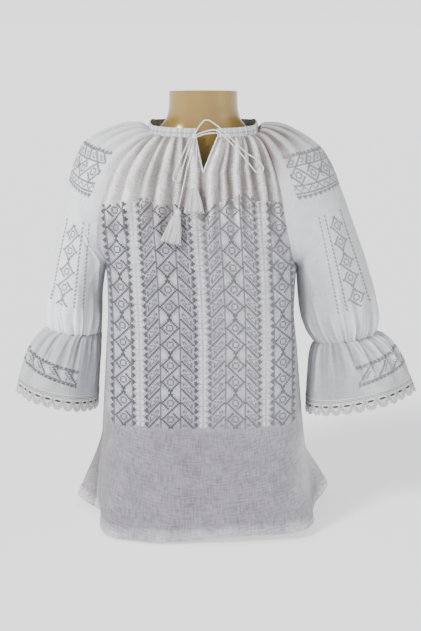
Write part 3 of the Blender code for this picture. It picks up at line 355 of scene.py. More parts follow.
def cap_row(side, share):
    """Round the sleeve from its front seam over the shoulder to its back seam, above the underarm."""
    ridge, front, back, (arch, out, fore, up) = armhole(side, share)
    first = bow(front, (side * out, fore, up), (0, -arch, 0), ridge, SLEEVE_SPANS // 2)
    last = bow(ridge, (0, arch, 0), (side * out, -fore, up), back, SLEEVE_SPANS // 2)
    return np.vstack([first, last[1:]])


def oval(table, side, share, spans):
    """A leaning oval from its innermost point round the front, the outside and the back."""
    out_x, out_z, in_x, in_z, mid_y, half = table[side].at(share)
    middle = np.array([side * (out_x + in_x) / 2, mid_y, (out_z + in_z) / 2])
    across = np.array([side * (out_x - in_x) / 2, 0, (out_z - in_z) / 2])
    turn = np.linspace(0, TURN, 241)[:, None]
    return placed(middle - across * np.cos(turn) - np.array([0, half, 0]) * np.sin(turn), spans)


# ---------------- camera

TARGET = np.array((0.0115, 0.0, 0.3444))
DISTANCE = 1.800
ELEVATION = math.radians(10)


def linked(name, data):
    """A new object of some data, in the scene."""
    made = bpy.data.objects.new(name, data)
    bpy.context.scene.collection.objects.link(made)
    return made


def make_camera():
    data = bpy.data.cameras.new("camera")
    data.lens = 62.24
    data.sensor_width = 36.0
    made = linked("camera", data)
    made.location = TARGET + DISTANCE * np.array((0.0, -math.cos(ELEVATION), math.sin(ELEVATION)))
    made.rotation_euler = (math.pi / 2 - ELEVATION, 0, 0)
    bpy.context.scene.camera = made


# ---------------- materials

# Linear colours.
WHITE = np.array((0.80, 0.81, 0.835))
LILAC = np.array((0.232, 0.220, 0.247))
CHEST = np.array((0.81, 0.775, 0.765))  # thin white cloth over the gold form, with painted light from above
PALE = np.array((0.368, 0.356, 0.398))
# the gold form seen through the sheer cloth, and painted shade
SHOW_THROUGH_AND_SHADE = np.array((0.165, 0.135, 0.122))
# painted light, for the lighter patches of the panels
PAINTED_LIGHT = np.array((0.60, 0.60, 0.65))
# painted shade of the sleeves and ruffles
PAINTED_SHADE = np.array((0.36, 0.38, 0.40))
CUFF = np.array((0.53, 0.54, 0.575))
THREAD_WHITE = np.array((0.84, 0.84, 0.86))
THREAD_PALE = np.array((0.42, 0.42, 0.45))  # what the sleeves' threads are softened towards
THREAD_SATIN = np.array((0.62, 0.62, 0.66))  # the front's white bands
THREAD_LAVENDER = np.array((0.25, 0.23, 0.32))
THREADS = (np.array((0.120, 0.120, 0.140)), np.array((0.052, 0.052, 0.066)), THREAD_SATIN * 0.74)
GREY, DARK, SATIN = range(3)  # places in THREADS


def node(tree, kind, *values, operation=None, **named):
    """A shader node. Its inputs, in order or by name, are set to values or joined to other nodes' outputs."""
    made = tree.nodes.new(f"ShaderNode{kind}")
    if operation:
        made.operation = operation
    for name, value in [*enumerate(values), *named.items()]:
        feed(tree, made.inputs[name if isinstance(name, int) else name.replace("_", " ")], value)
    return made


def feed(tree, socket, value):
    if isinstance(value, bpy.types.NodeSocket):
        tree.links.new(value, socket)
    else:
        socket.default_value = value


def shader_of(name, **looks):
    """A new material with its nodes and its main shader."""
    made = bpy.data.materials.new(name)
    made.use_nodes = True
    shader = made.node_tree.nodes["Principled BSDF"]
    for look, value in looks.items():
        shader.inputs[look.replace("_", " ")].default_value = value
    return made, made.node_tree, shader


def noise(tree, scales, detail=2.0, on_cloth=False):
    """Noise stretched by its own scales, along the object's axes or across and along the cloth."""
    source = node(tree, "UVMap").outputs[0] if on_cloth else node(tree, "TexCoord").outputs["Object"]
    mapping = node(tree, "Mapping", Vector=source, Scale=scales)
    return node(tree, "TexNoise", Vector=mapping.outputs[0], Scale=1.0, Detail=detail).outputs["Fac"]


def blended(tree, first, second, operation="ADD"):
    return node(tree, "Math", first, second, operation=operation).outputs[0]


def toned(tree, shader, fade, low, high):
    """Colours a shader by the tone attribute times a grey from low to high."""
    tone = node(tree, "Attribute")
    tone.attribute_name = "tone"
    grey = node(tree, "MapRange", fade, 0.3, 0.7, low, high)
    mix = node(tree, "VectorMath", tone.outputs["Color"], operation="SCALE", Scale=grey.outputs[0])
    feed(tree, shader.inputs["Base Color"], mix.outputs[0])


def bumped(tree, shader, height, strength, distance):
    bump = node(tree, "Bump", Height=height, Strength=strength, Distance=distance)
    feed(tree, shader.inputs["Normal"], bump.outputs[0])


def linen(name, low, high):
    """Sheer slub linen: uneven warp and weft threads in colour and relief."""
    made, tree, shader = shader_of(name, Roughness=0.88, Sheen_Weight=0.12, Sheen_Roughness=0.5)
    threads = ((420, 60, 5), (60, 400, 5), (26, 34, 4), (2400, 160, 1), (160, 2400, 1))
    warp, weft, cloud, fine_warp, fine_weft = (noise(tree, (u, v, 1), d, True) for u, v, d in threads)
    both = blended(tree, warp, weft)
    slub = blended(tree, both, blended(tree, cloud, 0.5, "MULTIPLY"))
    toned(tree, shader, blended(tree, slub, 0.4, "MULTIPLY"), low, high)
    bumped(tree, shader, blended(tree, both, blended(tree, fine_warp, fine_weft)), 0.35, 0.0004)
    return made


def cotton():
    """White cotton yarn."""
    made, tree, shader = shader_of("cotton_yarn", Roughness=0.8, Sheen_Weight=0.15)
    fibres = noise(tree, (900, 900, 900))
    toned(tree, shader, fibres, 0.88, 1.06)
    bumped(tree, shader, fibres, 0.4, 0.0003)
    return made


def silver_thread():
    """Embroidery thread: the tone attribute with a soft sheen."""
    made, tree, shader = shader_of("embroidery_thread", Roughness=0.5, Sheen_Weight=0.2)
    toned(tree, shader, noise(tree, (140, 140, 140)), 0.82, 1.15)
    return made


def gold_gloss():
    """Glossy gold-painted shell with faint clouding."""
    made, tree, shader = shader_of("gold_shell", Metallic=0.25, Roughness=0.24, Coat_Weight=0.3)
    clouds = noise(tree, (14, 14, 3))
    mix = node(tree, "ValToRGB", clouds)
    low, high = mix.color_ramp.elements
    low.position, low.color = 0.3, (0.225, 0.140, 0.030, 1)
    high.position, high.color = 0.75, (0.345, 0.230, 0.062, 1)
    feed(tree, shader.inputs["Base Color"], mix.outputs["Color"])
    bumped(tree, shader, clouds, 0.05, 0.002)
    return made


# ---------------- meshes


def piece(name, points, faces, tones, material, slot, *replaced, uvs=None, merge=False):
    """A piece from points in millimetres, with a tone at each point, a slot that is not used, and the nodes
    it replaces.
    """
    data = bpy.data.meshes.new(name)
    data.from_pydata((np.asarray(points) * MM).tolist(), [], faces)
    layer = data.color_attributes.new("tone", "FLOAT_COLOR", "POINT")
    colours = np.ones((len(points), 4), np.float32)
    colours[:, :3] = tones
    layer.data.foreach_set("color", colours.ravel())
    if uvs is not None:
        index = np.zeros(len(data.loops), np.int32)
        data.loops.foreach_get("vertex_index", index)
        uv = data.uv_layers.new(name="UVMap")
        uv.data.foreach_set("uv", (np.asarray(uvs, np.float32) * MM)[index].ravel())
    if merge:
        mesh = bmesh.new()
        mesh.from_mesh(data)
        bmesh.ops.remove_doubles(mesh, verts=mesh.verts, dist=2e-6)
        bmesh.ops.recalc_face_normals(mesh, faces=mesh.faces)
        mesh.to_mesh(data)
        mesh.free()
    data.shade_smooth()
    data.set_sharp_from_angle(angle=math.radians(60))
    data.materials.append(material)
    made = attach(linked(name, data), "root")
    if replaced:
        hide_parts(*replaced)
    return made


def grid_faces(rows, columns, start):
    r, c = np.meshgrid(np.arange(rows - 1), np.arange(columns - 1), indexing="ij")
    a = start + r * columns + c
    return np.stack([a, a + 1, a + columns + 1, a + columns], axis=-1).reshape(-1, 4)


def ring_faces(rings, around):
    """Joins closed rings of points one after the other, with the first and the last filled in."""
    k = np.arange(around)
    n = (k + 1) % around
    start = np.arange(rings - 1)[:, None] * around
    quads = np.stack([start + k, start + n, start + around + n, start + around + k], axis=-1)
    ends = [k[::-1].tolist(), ((rings - 1) * around + k).tolist()]
    return quads.reshape(-1, 4).tolist() + ends


def surface_normals(points):
    return unit(np.cross(np.gradient(points, axis=1), np.gradient(points, axis=0)))


def sampled(grid, r, c):
    """A grid's values at fractional rows and columns."""
    r = np.clip(r, 0, grid.shape[0] - 1.001)
    c = np.clip(c, 0, grid.shape[1] - 1.001)
    i, j = r.astype(int), c.astype(int)
    a, b = (r - i)[..., None], (c - j)[..., None]
    upper = grid[i, j] * (1 - b) + grid[i, j + 1] * b
    lower = grid[i + 1, j] * (1 - b) + grid[i + 1, j + 1] * b
    return upper * (1 - a) + lower * a


class Cloth:
    """A fine grid of cloth: rows down it and columns across it, with an outward direction at each point."""

    def __init__(self, rows, outward, keys, hand=1):
        self.base = base = np.array(rows)
        self.keys = np.asarray(keys)[:, None]
        self.hand = hand
        self.place = np.arange(base.shape[1]) / (base.shape[1] - 1)
        self.normal = surface_normals(base)
        if ((base - base.reshape(-1, 3).mean(axis=0)) * self.normal * outward).sum() < 0:
            self.normal = -self.normal
        self.lift = np.zeros(base.shape[:2])
        self.tone = np.zeros(base.shape) + WHITE

    def settle(self):
        """Keeps the finished points and directions, and the distances across and down the cloth."""
        self.points = self.base + self.normal * self.lift[..., None]
        normal = surface_normals(self.points)
        turned = np.sign((normal * self.normal).sum(axis=-1, keepdims=True))
        self.out = normal * np.where(turned == 0, 1, turned)
        across = np.linalg.norm(np.diff(self.base, axis=1), axis=-1)
        self.u = np.r_[0, np.cumsum(across[across.sum(axis=1).argmax()])]
        down = np.linalg.norm(np.diff(self.base, axis=0), axis=-1)
        self.v = np.vstack([np.zeros(self.base.shape[1]), np.cumsum(down, axis=0)])

    def at(self, r, c, height):
        """Points of the cloth at fractional rows and columns, moved out by a height."""
        return sampled(self.points, r, c) + unit(sampled(self.out, r, c)) * np.asarray(height)[..., None]

    def tint(self, colour, amount):
        """Moves the tone towards a colour by an amount at each point."""
        self.tone = self.tone + (colour - self.tone) * (amount + np.zeros(self.lift.shape))[..., None]

    def crossed_by(self, table):
        """Sharp folds, each from one place and row to another, with a half width and a height."""
        for place0, key0, place1, key1, half, height in table:
            t = (self.keys - key0) / (key1 - key0)
            off = np.abs(self.place - (place0 + (place1 - place0) * t)) / half
            rise = np.sin(math.pi * np.clip(t, 0, 1)) ** 0.6
            self.lift += height * rise * np.clip(1 - off, 0, 1) ** 1.3

    def paint_relief_shade(self, amount, wide=10):
        """Paints ridges a little lighter and hollows a little darker than the cloth round them, as painted
        highlight and painted shade.
        """
        padded = np.pad(self.lift, ((0, 0), (wide, wide)), mode="edge")
        total = np.cumsum(padded, axis=1)
        relief = self.lift - (total[:, 2 * wide :] - total[:, : -2 * wide]) / (2 * wide)
        self.tone = self.tone * (1 + amount * np.clip(relief, -2.5, 2.5))[..., None]


SHELL = 0.7  # depth of the cloth
INNER = 0.6  # the tone of the cloth's inner side, which lies in its own shade


def cloth_piece(name, cloths, rims, material):
    """One piece of cloth from one or more grids, with their open edges closed."""
    points, faces, tones, uvs = [], [], [], []
    start = 0
    for cloth in cloths:
        rows, columns = cloth.lift.shape
        count = rows * columns
        points += [cloth.points.reshape(-1, 3), (cloth.points - cloth.out * SHELL).reshape(-1, 3)]
        tones += [cloth.tone.reshape(-1, 3), cloth.tone.reshape(-1, 3) * INNER]
        across = np.broadcast_to(cloth.u * cloth.hand, (rows, columns))
        uvs += [np.stack([across, cloth.v], axis=-1).reshape(-1, 2)] * 2
        faces += [grid_faces(rows, columns, start), grid_faces(rows, columns, start + count)[:, ::-1]]
        index = start + np.arange(count).reshape(rows, columns)
        for rim in rims:
            a, b = index[rim][:-1], index[rim][1:]
            faces.append(np.stack([a, b, b + count, a + count], axis=-1))
        start += 2 * count
    faces, uvs = np.vstack(faces).tolist(), np.vstack(uvs)
    return piece(
        f"{name}_cloth", np.vstack(points), faces, np.vstack(tones), material, name, name, uvs=uvs, merge=True
    )


def tube(path, radius, sides=6, twist=None):
    """Points and faces of a closed tube along a path. twist(angle, distance) scales the radius."""
    path = np.asarray(path, float)
    along = unit(np.gradient(path, axis=0))
    side = np.cross(along[0], (0.0, 0.0, 1.0))
    if np.linalg.norm(side) < 0.2:
        side = np.cross(along[0], (0.0, 1.0, 0.0))
    sides_at = []
    for direction in along:
        side = unit(side - direction * (side @ direction))
        sides_at.append(side)
    sides_at = np.array(sides_at)
    ups = np.cross(along, sides_at)
    angle = TURN * np.arange(sides) / sides
    radii = np.broadcast_to(np.asarray(radius, float), len(path))[:, None]
    if twist is not None:
        radii = radii * twist(angle[None, :], lengths_of(path)[:, None])
    radii = np.broadcast_to(radii, (len(path), sides))[..., None]
    ring = sides_at[:, None] * np.cos(angle)[:, None] + ups[:, None] * np.sin(angle)[:, None]
    return (path[:, None] + ring * radii).reshape(-1, 3), ring_faces(len(path), sides)


def joined(parts):
    """Several (points, faces) as one."""
    points, faces, start = [], [], 0
    for part_points, part_faces in parts:
        points.append(part_points)
        faces += [[start + k for k in face] for face in part_faces]
        start += len(part_points)
    return np.vstack(points), faces


def curve_through(points, step):
    """A smooth line through the points, read every step."""
    points = np.array(points, float)
    points = np.vstack([2 * points[0] - points[1], points, 2 * points[-1] - points[-2]])
    line = []
    for k in range(1, len(points) - 2):
        a, b, c, d = points[k - 1 : k + 3]
        count = max(2, int(np.linalg.norm(c - b) / step))
        t = (np.arange(count) / count)[:, None]
        rise = -a + 3 * b - 3 * c + d
        bend = 2 * a - 5 * b + 4 * c - d
        line.append(0.5 * (2 * b + (c - a) * t + bend * t * t + rise * t**3))
    return np.vstack([*line, points[-2]])


# ---------------- the drawstring

CORD = 2.2
KNOT = np.array((-13.0, -74.8, 637.0))
KNOT_RADII = np.array((4.6, 4.0, 5.6))
KNOT_TURNS = 3
KNOT_CORD = 1.25  # radius of the cord wound round the knot
ROUTES = {
    "cord_bridge": (
        (24.0, -65.0, 642.2), (20.2, -66.8, 642.0), (12.7, -69.0, 641.8), (5.2, -71.0, 640.8),
        (-1.5, -72.8, 639.2), (-7.6, -74.0, 637.1), (-9.5, -74.3, 637.0),
    ),
    "cord_loop_left": (
        (-11.4, -74.2, 643.1), (-6.1, -70.7, 652.0), (0.5, -70.5, 660.0), (3.4, -70.5, 661.4),
        (6.4, -70.5, 661.7), (12.3, -70.5, 659.6), (22.5, -70.5, 652.5), (32.5, -70.6, 644.0),
        (49.9, -78.8, 627.3), (66.5, -80.2, 612.4), (81.0, -83.0, 602.9), (86.2, -84.7, 598.8),
        (91.9, -86.8, 591.3), (92.5, -87.5, 588.2), (91.7, -87.9, 585.8), (89.6, -88.1, 583.4),
        (87.0, -88.1, 582.5), (83.1, -88.0, 582.8), (79.6, -87.5, 584.9), (62.7, -84.9, 605.6),
        (49.0, -83.1, 620.6), (32.5, -73.9, 636.9), (22.1, -70.7, 645.3), (15.2, -70.5, 646.7),
        (3.9, -70.6, 644.5), (-8.4, -75.9, 640.2),
    ),
    "cord_loop_right": (
        (-18.1, -74.8, 634.9), (-19.4, -75.5, 632.8), (-23.1, -79.6, 627.8), (-30.6, -87.8, 610.7),
        (-40.3, -91.8, 590.1), (-44.2, -95.1, 580.8), (-45.4, -97.2, 574.1), (-44.0, -97.7, 571.0),
        (-41.8, -98.0, 569.2), (-39.3, -98.1, 569.1), (-37.0, -98.1, 570.0), (-34.0, -97.7, 576.0),
        (-32.0, -95.4, 587.0), (-25.0, -86.8, 608.6), (-20.4, -83.1, 621.5), (-17.3, -76.7, 629.2),
        (-16.3, -75.4, 632.0),
    ),
    "cord_tail_long": (
        (-13.5, -78.0, 632.2), (-15.4, -87.0, 619.0), (-17.3, -88.8, 611.8), (-22.0, -90.6, 596.7),
        (-24.6, -92.5, 587.5), (-30.8, -101.9, 558.8), (-34.4, -105.9, 541.2), (-36.4, -111.7, 532.5),
        (-37.0, -112.7, 529.5),
    ),
    "cord_tail_short": (
        (-10.1, -75.7, 631.7), (-10.0, -77.4, 628.8), (-9.9, -84.3, 621.2), (-9.8, -88.8, 612.6),
        (-10.5, -96.3, 594.7), (-11.7, -100.2, 580.2), (-12.5, -105.2, 572.0), (-12.8, -106.1, 569.0),
    ),
}
TWIST = 5.0  # one turn of the two plies


def plied(angle, distance):
    """Two plies twisted together."""
    return 0.92 + 0.16 * np.abs(np.cos(angle - TURN * distance / TWIST))


def make_cords(material):
    for name, route in ROUTES.items():
        line = curve_through(route, 0.9)
        points, faces = tube(line, CORD / 2, 8, plied)
        shade = 0.93 + 0.07 * np.cos(np.arange(len(points)) * 1.7)
        made = piece(f"{name}_yarn", points, faces, THREAD_WHITE * shade[:, None], material, name, name)
        float(lengths_of(line)[-1] * MM)


def make_knot(material):
    """The bow's knot: the cord wound round itself over a core."""
    t = np.linspace(0, TURN * KNOT_TURNS, 150)
    rise = 0.75 * np.sin(t / KNOT_TURNS + 0.6) + 0.165 * np.sin(t / KNOT_TURNS * 2)
    winding = unit(np.stack([np.cos(t), np.sin(t), rise], axis=1)) * (KNOT_RADII - 1.0) + KNOT
    sphere = bmesh.new()
    bmesh.ops.create_uvsphere(sphere, u_segments=16, v_segments=10, radius=1.0)
    core = np.array([v.co[:] for v in sphere.verts]) * (KNOT_RADII - 1.2) + KNOT
    parts = [tube(winding, KNOT_CORD), (core, [[v.index for v in f.verts] for f in sphere.faces])]
    sphere.free()
    piece("cord_knot_yarn", *joined(parts), THREAD_WHITE, material, "cord_knot", "cord_knot")


TASSEL_WIDE, TASSEL_DEEP = 15.0, 7.0
TASSELS = {
    "tassel_long": ((-37.0, -112.7, 529.0), (-49.0, -124.5, 477.0)),
    "tassel_short": ((-12.8, -106.1, 568.5), (-13.6, -120.1, 522.0)),
}
TASSEL_HEAD = ((0.1, 1.2), (1.2, 3.2), (3.0, 4.6), (5.2, 5.0), (7.2, 4.2), (8.6, 3.6), (9.8, 4.2))
TASSEL_BINDING = (7.7, 8.6, 9.5)
BINDING_WIDE, BINDING_CORD = 3.9, 0.6  # radii of each turn and of its cord
TASSEL_LAYERS = ((1.0, 46), (0.74, 34), (0.45, 20))  # how wide each layer of yarns is, and its yarns
SKIRT = 9.0  # how far down the skirt of yarns starts
YARN_CUTS = (0.93, 1.0)  # the least and greatest share of the tassel's length
YARN_SHADES = (0.34, 1.0)
YARN_RADII = np.linspace(1.15, 0.95, 7)


def make_tassel(name, start, end, material):
    """A bound head of wound cord and a full skirt of cut yarns."""
    start, end = np.array(start), np.array(end)
    rng = np.random.default_rng(7)
    down = unit(end - start)
    side = unit(np.cross(down, (0.0, 1.0, 0.0)))
    side = side if side[0] > 0 else -side
    fore = np.cross(down, side)
    length = np.linalg.norm(end - start)
    head = [start + down * along for along, _ in TASSEL_HEAD]
    parts = [tube(head, [radius for _, radius in TASSEL_HEAD], 20, lambda a, d: 1 + 0.05 * np.cos(10 * a))]
    turn = np.linspace(0, TURN, 25)[:, None]
    for along in TASSEL_BINDING:
        ring = (side * np.cos(turn) + fore * np.sin(turn)) * BINDING_WIDE
        parts.append(tube(start + down * along + ring, BINDING_CORD))
    shades = [0.9] * len(parts)
    for layer, count in TASSEL_LAYERS:
        for k in range(count):
            angle = TURN * (k + rng.uniform(-0.3, 0.3)) / count
            cut = length * rng.uniform(*YARN_CUTS)
            sway = rng.uniform(-1, 1, 2)
            strand = []
            for share in np.linspace(0, 1, len(YARN_RADII)):
                flare = (0.24 + 0.76 * share**0.8) * layer
                wave = 0.9 * math.sin(share * 7 + k) * share
                across = TASSEL_WIDE * flare * math.cos(angle) + wave * sway[0]
                depth = TASSEL_DEEP * flare * math.sin(angle) + 0.4 * wave * sway[1]
                strand.append(start + down * (SKIRT + (cut - SKIRT) * share) + side * across + fore * depth)
            parts.append(tube(strand, YARN_RADII, 4))
    shades += [rng.uniform(*YARN_SHADES) for _ in parts[len(shades) :]]
    shade = np.repeat(shades, [len(points) for points, _ in parts])
    piece(f"{name}_yarn", *joined(parts), THREAD_WHITE * shade[:, None], material, name, name)


# ---------------- cloth with its folds


def pleats(place, heights):
    """Rounded pleats side by side over place 0 to 1, each as high as its own share."""
    k = np.minimum((place * len(heights)).astype(int), len(heights) - 1)
    wave = 0.5 - 0.5 * np.cos(TURN * place * len(heights))
    return np.asarray(heights)[k] * wave**1.4


def gathers(place, count, seed):
    """Fine uneven gathers, from -1 to 1."""
    rng = np.random.default_rng(seed)
    total = np.zeros_like(place)
    for k in range(4):
        total += np.sin(TURN * place * count * (0.72 + 0.19 * k) + rng.uniform(0, 6.3))
    return total / 4


def creased(place, row, seed, amount=1.0):
    """Slight wandering creases of well-used cloth."""
    rng = np.random.default_rng(seed)
    total = np.zeros(np.broadcast(place, row).shape)
    for _ in range(7):
        a, b = rng.uniform(2, 9), rng.uniform(-5, 5)
        total += np.sin(TURN * (place * a + row * b) + rng.uniform(0, 6.3))
    return amount * total / 7


def hanging_folds(side, place, height):
    """How far the soft folds above the hem stand out."""
    total = 0
    for centre, tall, half, top in HEM_FOLDS[side]:
        across = np.minimum(np.abs(place - centre) / half, 1)
        rise = np.maximum(0, (top - height) / (top - HEM_Z)) ** 1.2
        total = total + tall * rise * np.cos(across * math.pi / 2) ** 2
    return total


def towards_body(place):
    """The share of the folds' height that is left towards the inside of the arm."""
    return 1 - 0.75 * np.cos(math.pi * place) ** 4


# Large soft patches of tone: x and z of the middle, half width, half height, how much. The darker patches
# hold the form showing dark through the front's upper part together with painted shade, and painted shade low
# on the back's side; the lighter patches are painted light on both panels, most at the sides.
SHADES = {
    FRONT: (
        (-67, 520, 30, 24, 0.50), (97, 528, 24, 24, 0.50), (-70, 582, 24, 28, 0.40), (84, 590, 30, 34, 0.50),
        (34, 575, 12, 40, 0.30), (-22, 566, 12, 36, 0.30), (60, 545, 12, 26, 0.25),
    ),
    BACK: ((-172, 105, 26, 80, 0.80),),
}
PAINTED_LIGHT_PATCHES = {
    FRONT: (
        (100, 330, 60, 120, 0.50), (168, 120, 24, 80, 0.80), (-120, 330, 26, 120, 0.40),
        (128, 330, 24, 120, 0.45), (60, 470, 40, 60, 0.25), (-110, 450, 26, 50, 0.45),
    ),
    BACK: ((172, 110, 26, 80, 0.80),),
}
HEM_TONE = 1.7  # the doubled cloth of the hem is lighter


def panel_cloth(side, face):
    """Half of the front or the back, from its centre to its seams."""
    front = face == FRONT
    top, slit_end = YOKE[FRONT].at(0)[1], YOKE[FRONT].at(SLIT_SHARE)[1]
    rows = []
    for share in YOKE_FINE:
        closed = (top - YOKE[FRONT].at(share)[1]) / (top - slit_end)
        rows.append(yoke_row(side, share, face, SLIT_HALF[side] * max(0.0, 1 - closed) if front else 0.0))
    rows += [body_row(side, z, face) for z in BODY_FINE]
    cloth = Cloth(rows, (1, 1, 0), np.r_[YOKE_FINE, 1 + (UNDERARM - BODY_FINE) / PLEAT_DROP], side)
    keys, place = cloth.keys, cloth.place
    seed = 11 + side + 5 * AWAY[face]
    arch = np.sin(math.pi * place)
    cloth.lift = NECK_PLEAT.at(keys)[face] * pleats(place, PLEATS[face])
    cloth.lift += 1.3 * ramp(keys, 0.5, 0) ** 1.5 * gathers(place, PANEL_GATHERS, seed) * arch
    cloth.lift += 0.7 * creased(place, keys * 0.4, seed) * arch**0.5 * np.minimum(1.0, 0.2 + 3 * keys)
    cloth.lift += hanging_folds(side, round_body(face), UNDERARM - (keys - 1) * PLEAT_DROP)
    cloth.lift[-HEM_ROWS:] += HEM_RAISE
    cloth.normal[:, 0, 0] = 0
    cloth.normal[:, 0] = unit(cloth.normal[:, 0])

    x, z = cloth.base[..., 0], cloth.base[..., 2]
    high = ramp(z, 500, 530) if front else ramp(z, 440, 570)
    # The cloth is painted lighter upward, over the pattern and most on the chest and the back's upper part,
    # as painted light from above.
    cloth.tone[:] = LILAC
    cloth.tint(PALE, ramp(z, 180, 210) if front else 0.6)
    cloth.tint(CHEST if front else WHITE, 0.85 * high)
    # The form shows warm through the upper cloth, deepest in the pleats' valleys, as painted shade in the
    # hollows too.
    valley = np.clip(1.15 - cloth.lift / (0.6 * NECK_PLEAT.at(0.3)[face]), 0, 1)
    patchy = np.clip(0.75 + 0.4 * creased(place, keys * 0.3, seed + 3, 2.2), 0, 1)
    show_through_and_shade = (0.95 if front else 0.35) * high * valley * patchy
    if side == RIGHT:
        show_through_and_shade = show_through_and_shade * np.clip(1 - (np.abs(x) - 92) / 25, 0.3, 1)
    cloth.tint(SHOW_THROUGH_AND_SHADE, show_through_and_shade)
    # Darker patches: the form showing through and painted shade; lighter patches: painted light.
    for colour, patches in ((SHOW_THROUGH_AND_SHADE, SHADES[face]), (PAINTED_LIGHT, PAINTED_LIGHT_PATCHES[face])):
        for patch_x, patch_z, wide, tall, amount in patches:
            cloth.tint(colour, amount * bell((x - patch_x) / wide) * bell((z - patch_z) / tall))
    # painted highlight on the ridges and painted shade in the hollows
    cloth.paint_relief_shade(0.12)
    cloth.tone[-HEM_ROWS - 1 :] *= HEM_TONE
    return cloth


# Sharp folds of the sleeve, up from the gathers at the elbow: place there, place and row of the upper end,
# half width, height. Then the folds that lie further up, with the place and row of both ends.
ELBOW_FOLDS = {
    LEFT: (
        (0.12, 0.08, 1.55, 0.020, 3.0), (0.175, 0.145, 1.40, 0.022, 4.0), (0.215, 0.205, 1.60, 0.014, 3.0),
        (0.25, 0.245, 1.35, 0.018, 4.5), (0.285, 0.30, 1.62, 0.014, 3.5), (0.32, 0.33, 1.45, 0.018, 4.0),
        (0.36, 0.375, 1.60, 0.015, 3.5), (0.40, 0.42, 1.50, 0.020, 3.5), (0.62, 0.60, 1.50, 0.020, 3.5),
        (0.70, 0.71, 1.40, 0.022, 4.0), (0.78, 0.80, 1.55, 0.018, 3.5), (0.86, 0.88, 1.50, 0.020, 3.0),
        (0.66, 0.66, 1.62, 0.014, 3.0), (0.74, 0.75, 1.66, 0.014, 3.0),
    ),
    RIGHT: (
        (0.11, 0.08, 1.50, 0.020, 3.5), (0.16, 0.14, 1.35, 0.020, 4.5), (0.20, 0.20, 1.55, 0.014, 4.0),
        (0.235, 0.225, 1.30, 0.016, 4.5), (0.27, 0.285, 1.60, 0.014, 3.5), (0.31, 0.33, 1.50, 0.018, 4.0),
        (0.36, 0.38, 1.55, 0.018, 3.5), (0.62, 0.60, 1.50, 0.020, 3.5), (0.69, 0.70, 1.42, 0.020, 4.0),
        (0.77, 0.78, 1.55, 0.018, 3.5), (0.85, 0.88, 1.48, 0.020, 3.0), (0.73, 0.73, 1.60, 0.014, 3.0),
    ),
}
UPPER_FOLDS = {
    LEFT: ((0.19, 1.75, 0.13, 0.95, 0.045, 3.5),),
    RIGHT: (
        (0.10, 1.35, 0.16, 0.86, 0.024, 5.0), (0.17, 1.30, 0.13, 0.95, 0.020, 3.0),
        (0.90, 1.35, 0.85, 0.90, 0.024, 3.5),
    ),
}
# The same down from the gathers on the ruffle: each side's own, and those at the back of both.
RUFFLE_FOLDS = {
    LEFT: (
        (0.215, 0.262, 0.95, 0.022, 4.6), (0.10, 0.085, 0.90, 0.018, 3.8), (0.155, 0.14, 0.62, 0.012, 2.5),
        (0.26, 0.30, 0.70, 0.012, 3.0), (0.295, 0.335, 0.60, 0.012, 3.0), (0.33, 0.37, 0.70, 0.012, 3.0),
        (0.37, 0.41, 0.62, 0.012, 2.6), (0.41, 0.45, 0.66, 0.013, 2.6),
    ),
    RIGHT: (
        (0.09, 0.075, 0.85, 0.018, 3.0), (0.13, 0.12, 0.62, 0.012, 2.6), (0.175, 0.175, 0.80, 0.016, 3.2),
        (0.215, 0.23, 0.62, 0.012, 2.8), (0.25, 0.275, 0.70, 0.012, 2.8), (0.29, 0.32, 0.60, 0.012, 2.6),
        (0.34, 0.37, 0.66, 0.013, 2.6), (0.40, 0.42, 0.66, 0.013, 2.6),
    ),
}
RUFFLE_BACK_FOLDS = (
    (0.62, 0.60, 0.66, 0.014, 2.6), (0.70, 0.70, 0.72, 0.014, 3.0), (0.78, 0.79, 0.66, 0.014, 2.8),
    (0.87, 0.90, 0.80, 0.016, 2.6),
)


def folds_from(key, table):
    """Folds that all start at one row, with that row put in."""
    return [(place, key, *rest) for place, *rest in table]


SEAM_GATHER = 1.7
SEAM_FILL = 2.2  # how far the gathered seam stands out of the groove at the elbow


def elbow_gathers(place, side):
    return gathers(place, ELBOW_GATHERS, 37 + side)


